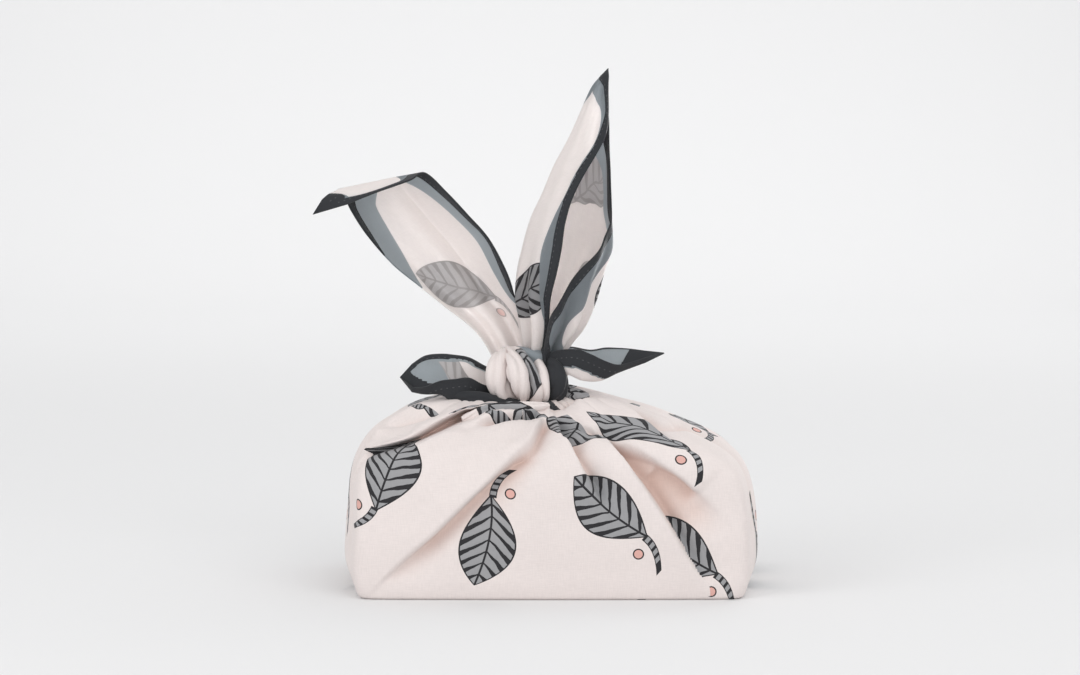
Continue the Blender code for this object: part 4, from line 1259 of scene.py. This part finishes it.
RIGHT_TAIL_PRINT_SHIFT = (0.030, 0.010)
TAIL_COLUMN_STEPS = 16
TIP_SLANT = 0.5


def trough_grid(rows):
    table = np.array([row.near + row.keel + row.far for row in rows])
    return np.array([smooth_rows(row.reshape(3, 3), TAIL_COLUMN_STEPS)
                     for row in smooth_rows(table, EAR_ROWS_PER_GAP)])


def build_tail(name, rows, tip, bands, print_shift, keel_out):
    """A tail. bands: the near wall's black, the far wall's black and slate, and the tip's."""
    grid = trough_grid(rows)
    across = arc_lengths(grid, axis=1)
    width = across[:, -1:]
    along = arc_lengths(grid, axis=0)
    to_tip = along[-1:] - along + np.linalg.norm(grid[-1].mean(axis=0) - np.array(tip))
    near_black, far_black, far_slate, tip_black, tip_slate = bands
    to_tip = to_tip + TIP_SLANT * (across - width)
    edges = np.minimum(printed_edges(across, near_black, 0),
                       printed_edges(width - across, far_black, far_slate))
    edges = np.minimum(edges, printed_edges(to_tip, tip_black, tip_slate))
    cloth_map = np.stack([across, along], axis=-1) + np.array(print_shift)
    tail = Layer(grid, cloth_map, edges, tip=tip)
    return single_cloth(name, tail if keel_out else turned(tail))


left_tail = build_tail("left_tail", LEFT_TAIL, LEFT_TAIL_TIP, LEFT_TAIL_BANDS,
                       LEFT_TAIL_PRINT_SHIFT, False)
right_tail = build_tail("right_tail", RIGHT_TAIL, RIGHT_TAIL_TIP, RIGHT_TAIL_BANDS,
                        RIGHT_TAIL_PRINT_SHIFT, True)

# %% [markdown]
# ## The knot
# The knot is two gathered corners pulled tight, and what shows is a dozen soft rolls of cloth
# beside and over each other. One lump with grooves would be simpler, but the rolls part where
# they cross, and each shows another part of the cloth. A roll here is a flattened tube along a
# row of centres. Its face has a few lengthwise creases, and it is printed, slate or near-black,
# by which part of the cloth lies there.

# %% Knot strands
StrandRow = namedtuple("StrandRow", "centre half_width half_thickness")
Strand = namedtuple("Strand", "name edge_distance creases crease_depth print_shift rows")
PINK = 0.100
BAND = 0.010
BLACK = 0.002
BARE_PLACE = (-0.015, -0.015)
LEAF_PLACE = (0.023, 0.016)
KNOT_STRANDS = [
    Strand("heart", BLACK, 3, 0.0010, (0, 0), [
        StrandRow((-0.009, 0.002, 0.078), 0.012, 0.010),
        StrandRow((-0.009, 0.002, 0.086), 0.015, 0.012),
        StrandRow((-0.009, 0.002, 0.096), 0.014, 0.012),
        StrandRow((-0.009, 0.002, 0.105), 0.008, 0.008),
    ]),
    Strand("left_roll", PINK, 2, 0.0012, BARE_PLACE, [
        StrandRow((-0.0191, -0.0060, 0.1051), 0.0027, 0.0035),
        StrandRow((-0.0227, -0.0130, 0.1021), 0.0044, 0.0050),
        StrandRow((-0.0244, -0.0165, 0.0966), 0.0051, 0.0060),
        StrandRow((-0.0231, -0.0165, 0.0907), 0.0049, 0.0055),
        StrandRow((-0.0186, -0.0140, 0.0859), 0.0031, 0.0045),
        StrandRow((-0.0141, -0.0100, 0.0832), 0.0018, 0.0030),
    ]),
    Strand("middle_roll", PINK, 2, 0.0012, BARE_PLACE, [
        StrandRow((-0.0186, -0.0070, 0.1057), 0.0022, 0.0035),
        StrandRow((-0.0168, -0.0155, 0.1028), 0.0036, 0.0048),
        StrandRow((-0.0154, -0.0205, 0.0979), 0.0049, 0.0058),
        StrandRow((-0.0136, -0.0205, 0.0920), 0.0044, 0.0055),
        StrandRow((-0.0122, -0.0160, 0.0865), 0.0027, 0.0042),
        StrandRow((-0.0127, -0.0110, 0.0828), 0.0018, 0.0030),
    ]),
    Strand("printed_fold", PINK, 1, 0.0006, LEAF_PLACE, [
        StrandRow((-0.0173, -0.0040, 0.1063), 0.0018, 0.0026),
        StrandRow((-0.0136, -0.0120, 0.1052), 0.0022, 0.0030),
        StrandRow((-0.0104, -0.0170, 0.1012), 0.0024, 0.0034),
        StrandRow((-0.0077, -0.0190, 0.0959), 0.0024, 0.0036),
        StrandRow((-0.0064, -0.0190, 0.0905), 0.0031, 0.0036),
        StrandRow((-0.0064, -0.0160, 0.0856), 0.0036, 0.0036),
        StrandRow((-0.0082, -0.0110, 0.0824), 0.0027, 0.0028),
    ]),
    Strand("pink_fold", PINK, 1, 0.0006, BARE_PLACE, [
        StrandRow((-0.0068, -0.0060, 0.1029), 0.0018, 0.0028),
        StrandRow((-0.0055, -0.0130, 0.0999), 0.0027, 0.0036),
        StrandRow((-0.0041, -0.0170, 0.0957), 0.0029, 0.0044),
        StrandRow((-0.0032, -0.0175, 0.0903), 0.0024, 0.0044),
        StrandRow((-0.0036, -0.0140, 0.0854), 0.0022, 0.0036),
        StrandRow((-0.0055, -0.0090, 0.0821), 0.0018, 0.0026),
    ]),
    Strand("black_roll", BLACK, 2, 0.0008, BARE_PLACE, [
        StrandRow((-0.0027, -0.0060, 0.1010), 0.0027, 0.0036),
        StrandRow((0.0009, -0.0120, 0.0989), 0.0040, 0.0048),
        StrandRow((0.0027, -0.0155, 0.0947), 0.0047, 0.0055),
        StrandRow((0.0027, -0.0150, 0.0896), 0.0044, 0.0052),
        StrandRow((-0.0000, -0.0110, 0.0851), 0.0036, 0.0040),
        StrandRow((-0.0032, -0.0070, 0.0824), 0.0022, 0.0030),
    ]),
    Strand("slate_cap", BAND, 2, 0.0005, BARE_PLACE, [
        StrandRow((-0.0169, 0.0000, 0.1050), 0.0022, 0.0030),
        StrandRow((-0.0123, -0.0080, 0.1044), 0.0036, 0.0040),
        StrandRow((-0.0077, -0.0105, 0.1033), 0.0038, 0.0042),
        StrandRow((-0.0036, -0.0060, 0.1029), 0.0031, 0.0036),
        StrandRow((-0.0009, 0.0000, 0.1041), 0.0022, 0.0030),
    ]),
    Strand("hem_line", BLACK, 1, 0.0002, BARE_PLACE, [
        StrandRow((-0.0045, -0.0060, 0.1083), 0.0006, 0.0012),
        StrandRow((-0.0036, -0.0110, 0.1061), 0.0007, 0.0014),
        StrandRow((-0.0032, -0.0125, 0.1030), 0.0007, 0.0014),
        StrandRow((-0.0027, -0.0120, 0.0998), 0.0006, 0.0012),
    ]),
    Strand("under_roll", BLACK, 2, 0.0006, BARE_PLACE, [
        StrandRow((-0.0466, -0.0150, 0.0882), 0.0027, 0.0030),
        StrandRow((-0.0389, -0.0180, 0.0863), 0.0036, 0.0040),
        StrandRow((-0.0298, -0.0190, 0.0850), 0.0036, 0.0040),
        StrandRow((-0.0208, -0.0185, 0.0836), 0.0024, 0.0034),
        StrandRow((-0.0118, -0.0170, 0.0825), 0.0020, 0.0032),
        StrandRow((-0.0014, -0.0120, 0.0829), 0.0022, 0.0032),
    ]),
    Strand("front_roll", PINK, 2, 0.0004, LEAF_PLACE, [
        StrandRow((-0.0400, -0.0325, 0.0778), 0.0012, 0.0010),
        StrandRow((-0.0364, -0.0316, 0.0790), 0.0022, 0.0014),
        StrandRow((-0.0297, -0.0309, 0.0806), 0.0034, 0.0019),
        StrandRow((-0.0220, -0.0294, 0.0818), 0.0038, 0.0022),
        StrandRow((-0.0140, -0.0280, 0.0822), 0.0034, 0.0022),
        StrandRow((-0.0059, -0.0262, 0.0826), 0.0026, 0.0018),
        StrandRow((-0.0010, -0.0240, 0.0830), 0.0014, 0.0012),
    ]),
    Strand("right_gather", PINK, 2, 0.0006, LEAF_PLACE, [
        StrandRow((0.0041, -0.0060, 0.0878), 0.0027, 0.0030),
        StrandRow((0.0082, -0.0110, 0.0869), 0.0033, 0.0036),
        StrandRow((0.0122, -0.0120, 0.0861), 0.0033, 0.0036),
        StrandRow((0.0168, -0.0110, 0.0851), 0.0022, 0.0024),
    ]),
    Strand("back_wrap", PINK, 3, 0.0010, LEAF_PLACE, [
        StrandRow((0.004, 0.004, 0.098), 0.006, 0.005),
        StrandRow((-0.002, 0.014, 0.096), 0.009, 0.006),
        StrandRow((-0.012, 0.017, 0.093), 0.010, 0.006),
        StrandRow((-0.022, 0.012, 0.091), 0.008, 0.006),
        StrandRow((-0.026, 0.002, 0.090), 0.006, 0.005),
    ]),
]
KNOT_CENTRE = (-0.009, 0.000, 0.093)
STRAND_SIDES = 72
STRAND_STEPS = 14
CREASE_WANDER = 1.4
CREASE_TURNS = 2.3
FORWARD = np.array([0.0, -1.0, 0.0])


def strand_grid(strand):
    """Rings of a flattened tube whose creases wander along its outward face."""
    table = np.array([list(row.centre) + [row.half_width, row.half_thickness]
                      for row in strand.rows])
    table = smooth_rows(table, STRAND_STEPS)
    centres = table[:, :3]
    tangents = np.gradient(centres, axis=0)
    tangents = tangents / np.linalg.norm(tangents, axis=1, keepdims=True)
    outward = centres - np.array(KNOT_CENTRE)
    if strand.name == "heart":  # it stands in the middle, so it has no side that faces out
        outward = np.tile(FORWARD, (len(centres), 1))
    sideways = np.cross(tangents, outward)
    sideways = sideways / np.linalg.norm(sideways, axis=1, keepdims=True)
    normal = np.cross(sideways, tangents)
    angle = np.arange(STRAND_SIDES)[None, :] / STRAND_SIDES * 2 * np.pi
    walk = np.linspace(0, 1, len(table))[:, None]
    drift = CREASE_WANDER * np.sin(CREASE_TURNS * walk * np.pi + strand.creases)
    wander = strand.creases * angle + drift
    crease = 1 - strand.crease_depth / table[:, 4:5] * np.cos(wander) ** 6
    return (centres[:, None, :]
            + sideways[:, None, :] * (table[:, 3:4] * np.cos(angle) * crease)[..., None]
            + normal[:, None, :] * (table[:, 4:5] * np.sin(angle) * crease)[..., None])


def strand_layer(strand):
    grid = strand_grid(strand)
    closed = close_ring(grid)
    cloth_map = np.stack([arc_lengths(closed, axis=1), arc_lengths(closed, axis=0)], axis=-1)
    distance = np.full(grid.shape[:2], strand.edge_distance)
    return Layer(grid, cloth_map + np.array(strand.print_shift), distance, True,
                 grid[-1].mean(axis=0), grid[0].mean(axis=0))


knot = cloth_piece("knot", [strand_layer(strand) for strand in KNOT_STRANDS], PACKED_FACE)

# %% [markdown]
# ## Hem stitches
# The hem is turned in and held by one line of small stitches near its inner edge. Equal things
# along a path are what Geometry Nodes does well: the path is resampled at the stitch pitch,
# and a small bead of thread is set on each point, along the path. Modelling a few hundred
# stitches by hand would be slow, and a dashed texture would stay flat at a glancing angle.

# %% Stitch paths
STITCH_INSET = 0.0010
STITCH_PITCH = 0.0026
STITCH_LENGTH = 0.0016
STITCH_THICKNESS = 0.0009
STITCH_SEED = 7
STITCH_UNEVENNESS = 0.15
LEAST_INSET = 0.0003
WIDEST_HEM = 0.0050


def stitch_path(grid, curl, black, far_edge):
    """A line on the cloth just inside its hem, for the rows where the hem is in the patch."""
    path = []
    for row, hidden, width in zip(grid, curl, black):
        walked = np.concatenate([[0], np.cumsum(np.linalg.norm(np.diff(row, axis=0), axis=1))])
        place = min(width, WIDEST_HEM) - STITCH_INSET - hidden
        if LEAST_INSET < place < walked[-1] / 2:
            place = walked[-1] - place if far_edge else place
            path.append([np.interp(place, walked, row[:, axis]) for axis in range(3)])
    return np.array(path)


# %% Stitch nodes
THREAD_DARK = (0.036, 0.038, 0.042)
THREAD_LIGHT = (0.066, 0.069, 0.075)
THREAD_GRAIN = 900
THREAD_ROUGHNESS = 0.8
THREAD_SHEEN = 0.2


def stitch_group():
    """Path in, stitches out; its inputs are named after what they set."""
    group = bpy.data.node_groups.new("hem_stitches", "GeometryNodeTree")
    group.interface.new_socket("Path", in_out="INPUT", socket_type="NodeSocketGeometry")
    for name, kind in (("Stitch Pitch", "Float"), ("Stitch Length", "Float"),
                       ("Stitch Thickness", "Float"), ("Seed", "Int"), ("Thread", "Material")):
        group.interface.new_socket(name, in_out="INPUT", socket_type="NodeSocket" + kind)
    group.interface.new_socket("Stitches", in_out="OUTPUT", socket_type="NodeSocketGeometry")
    add = group.nodes.new
    given, made = add("NodeGroupInput"), add("NodeGroupOutput")
    curve, resample = add("GeometryNodeMeshToCurve"), add("GeometryNodeResampleCurve")
    resample.mode = "LENGTH"
    bead, size = add("GeometryNodeMeshIcoSphere"), add("ShaderNodeCombineXYZ")
    length = add("ShaderNodeMath")
    bead.inputs["Subdivisions"].default_value = 2
    bead.inputs["Radius"].default_value = 0.5
    uneven, tangent = add("FunctionNodeRandomValue"), add("GeometryNodeInputTangent")
    uneven.inputs[2].default_value = 1 - STITCH_UNEVENNESS
    uneven.inputs[3].default_value = 1 + STITCH_UNEVENNESS
    length.operation = "MULTIPLY"
    turn, place = add("FunctionNodeAlignRotationToVector"), add("GeometryNodeInstanceOnPoints")
    turn.axis = "Z"
    realize, paint = add("GeometryNodeRealizeInstances"), add("GeometryNodeSetMaterial")
    for source, target in (
        (given.outputs["Path"], curve.inputs["Mesh"]),
        (curve.outputs["Curve"], resample.inputs["Curve"]),
        (given.outputs["Stitch Pitch"], resample.inputs["Length"]),
        (resample.outputs["Curve"], place.inputs["Points"]),
        (bead.outputs["Mesh"], place.inputs["Instance"]),
        (tangent.outputs["Tangent"], turn.inputs["Vector"]),
        (turn.outputs["Rotation"], place.inputs["Rotation"]),
        (given.outputs["Seed"], uneven.inputs["Seed"]),
        (given.outputs["Stitch Length"], length.inputs[0]),
        (uneven.outputs[1], length.inputs[1]),
        (given.outputs["Stitch Thickness"], size.inputs["X"]),
        (given.outputs["Stitch Thickness"], size.inputs["Y"]),
        (length.outputs[0], size.inputs["Z"]),
        (size.outputs[0], place.inputs["Scale"]),
        (place.outputs["Instances"], realize.inputs["Geometry"]),
        (realize.outputs["Geometry"], paint.inputs["Geometry"]),
        (given.outputs["Thread"], paint.inputs["Material"]),
        (paint.outputs["Geometry"], made.inputs["Stitches"]),
    ):
        group.links.new(source, target)
    return group


def thread_material():
    """Dark sewing thread, a little lighter than the hem and uneven in tone."""
    material = plain_material("hem_thread", CHARCOAL, THREAD_ROUGHNESS)
    tree = material.node_tree
    place = tree.nodes.new("ShaderNodeTexCoord").outputs["Object"]
    shade = mix_colour(tree, noise(tree, place, THREAD_GRAIN), THREAD_DARK, THREAD_LIGHT)
    surface = tree.nodes["Principled BSDF"]
    tree.links.new(shade.socket, surface.inputs["Base Color"])
    surface.inputs["Sheen Weight"].default_value = THREAD_SHEEN
    return material


STITCH_GROUP = stitch_group()
THREAD = thread_material()
print("nodes in the stitches", len(STITCH_GROUP.nodes))

# %% Sew the hems
def sew(name, paths):
    """Stitches along some paths, made by the node group and kept as one plain mesh."""
    points, edges = [], []
    for path in paths:
        edges += [(len(points) + i, len(points) + i + 1) for i in range(len(path) - 1)]
        points += path.tolist()
    lines = bpy.data.meshes.new(name + "_path")
    lines.from_pydata(points, edges, [])
    piece = bpy.data.objects.new(name, lines)
    bpy.context.scene.collection.objects.link(piece)
    nodes = piece.modifiers.new("hem_stitches", "NODES")
    nodes.node_group = STITCH_GROUP
    values = {"Stitch Pitch": STITCH_PITCH, "Stitch Length": STITCH_LENGTH,
              "Stitch Thickness": STITCH_THICKNESS, "Seed": STITCH_SEED, "Thread": THREAD}
    for item in STITCH_GROUP.interface.items_tree:
        if item.name in values:
            nodes[item.identifier] = values[item.name]
    ready = piece.evaluated_get(bpy.context.evaluated_depsgraph_get())
    mesh = bpy.data.meshes.new_from_object(ready)
    piece.modifiers.remove(nodes)
    piece.data = mesh
    bpy.data.meshes.remove(lines)
    mesh.name = name
    mesh.shade_smooth()
    print(name, len(mesh.polygons), "faces")
    return piece


def ear_paths(grid, hems):
    return [stitch_path(grid, hems[:, 0], hems[:, 1], False),
            stitch_path(grid, hems[:, 3], hems[:, 4], True)]


def tail_paths(rows, bands):
    grid = trough_grid(rows)
    near_black, far_black = bands[:2]
    curl, ones = np.zeros(len(grid)), np.ones(len(grid))
    return [stitch_path(grid, curl, ones * near_black, False),
            stitch_path(grid, curl, ones * far_black, True)]


left_ear_stitches = sew("left_ear_stitches", ear_paths(*LEFT_EAR_CLOTH))
right_ear_stitches = sew("right_ear_stitches", ear_paths(*RIGHT_EAR_CLOTH))
left_tail_stitches = sew("left_tail_stitches", tail_paths(LEFT_TAIL, LEFT_TAIL_BANDS))
right_tail_stitches = sew("right_tail_stitches", tail_paths(RIGHT_TAIL, RIGHT_TAIL_BANDS))

# %% [markdown]
# ## Handing the patches to the frame
# Each patch rides on the frame's one body and stands for the plain solid. The real cloth is one
# 50 cm square, so no patch has a cut of its own. The bundle, the right ear and the left tail are
# given sizes estimated before they were measured. The left ear, the right tail and the knot
# failed such a test, and their areas here were fitted to the finished patches, so their shares
# test nothing. Each patch's share of its flat size is printed last.

# %% Attach and measure
SheetSize = namedtuple("SheetSize", "piece width length area held rests_on with_pieces")
SHEETS = [
    SheetSize(bundle, 0.330, 0.290, 0.0957, "folded", [CLOTH_NODE], []),
    SheetSize(left_ear, 0.085, 0.130, 0.0064, "folded", [knot], [left_ear_stitches]),
    SheetSize(right_ear, 0.075, 0.160, 0.0120, "folded", [knot], [right_ear_stitches]),
    SheetSize(left_tail, 0.030, 0.060, 0.0018, "folded", [knot], [left_tail_stitches]),
    SheetSize(right_tail, 0.034, 0.070, 0.0015, "folded", [knot], [right_tail_stitches]),
    SheetSize(knot, 0.070, 0.110, 0.0062, "folded", [bundle], []),
]


def one_face_area(piece):
    shape = piece.evaluated_get(bpy.context.evaluated_depsgraph_get()).to_mesh()
    return sum(face.area for face in shape.polygons) / 2


for sheet in SHEETS:
    for piece in (sheet.piece, *sheet.with_pieces):
        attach(piece, "root")
        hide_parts(CLOTH_NODE)
    share = one_face_area(sheet.piece) / sheet.area
    print(sheet.piece.name, "one face is", round(share, 2), "of its flat share")
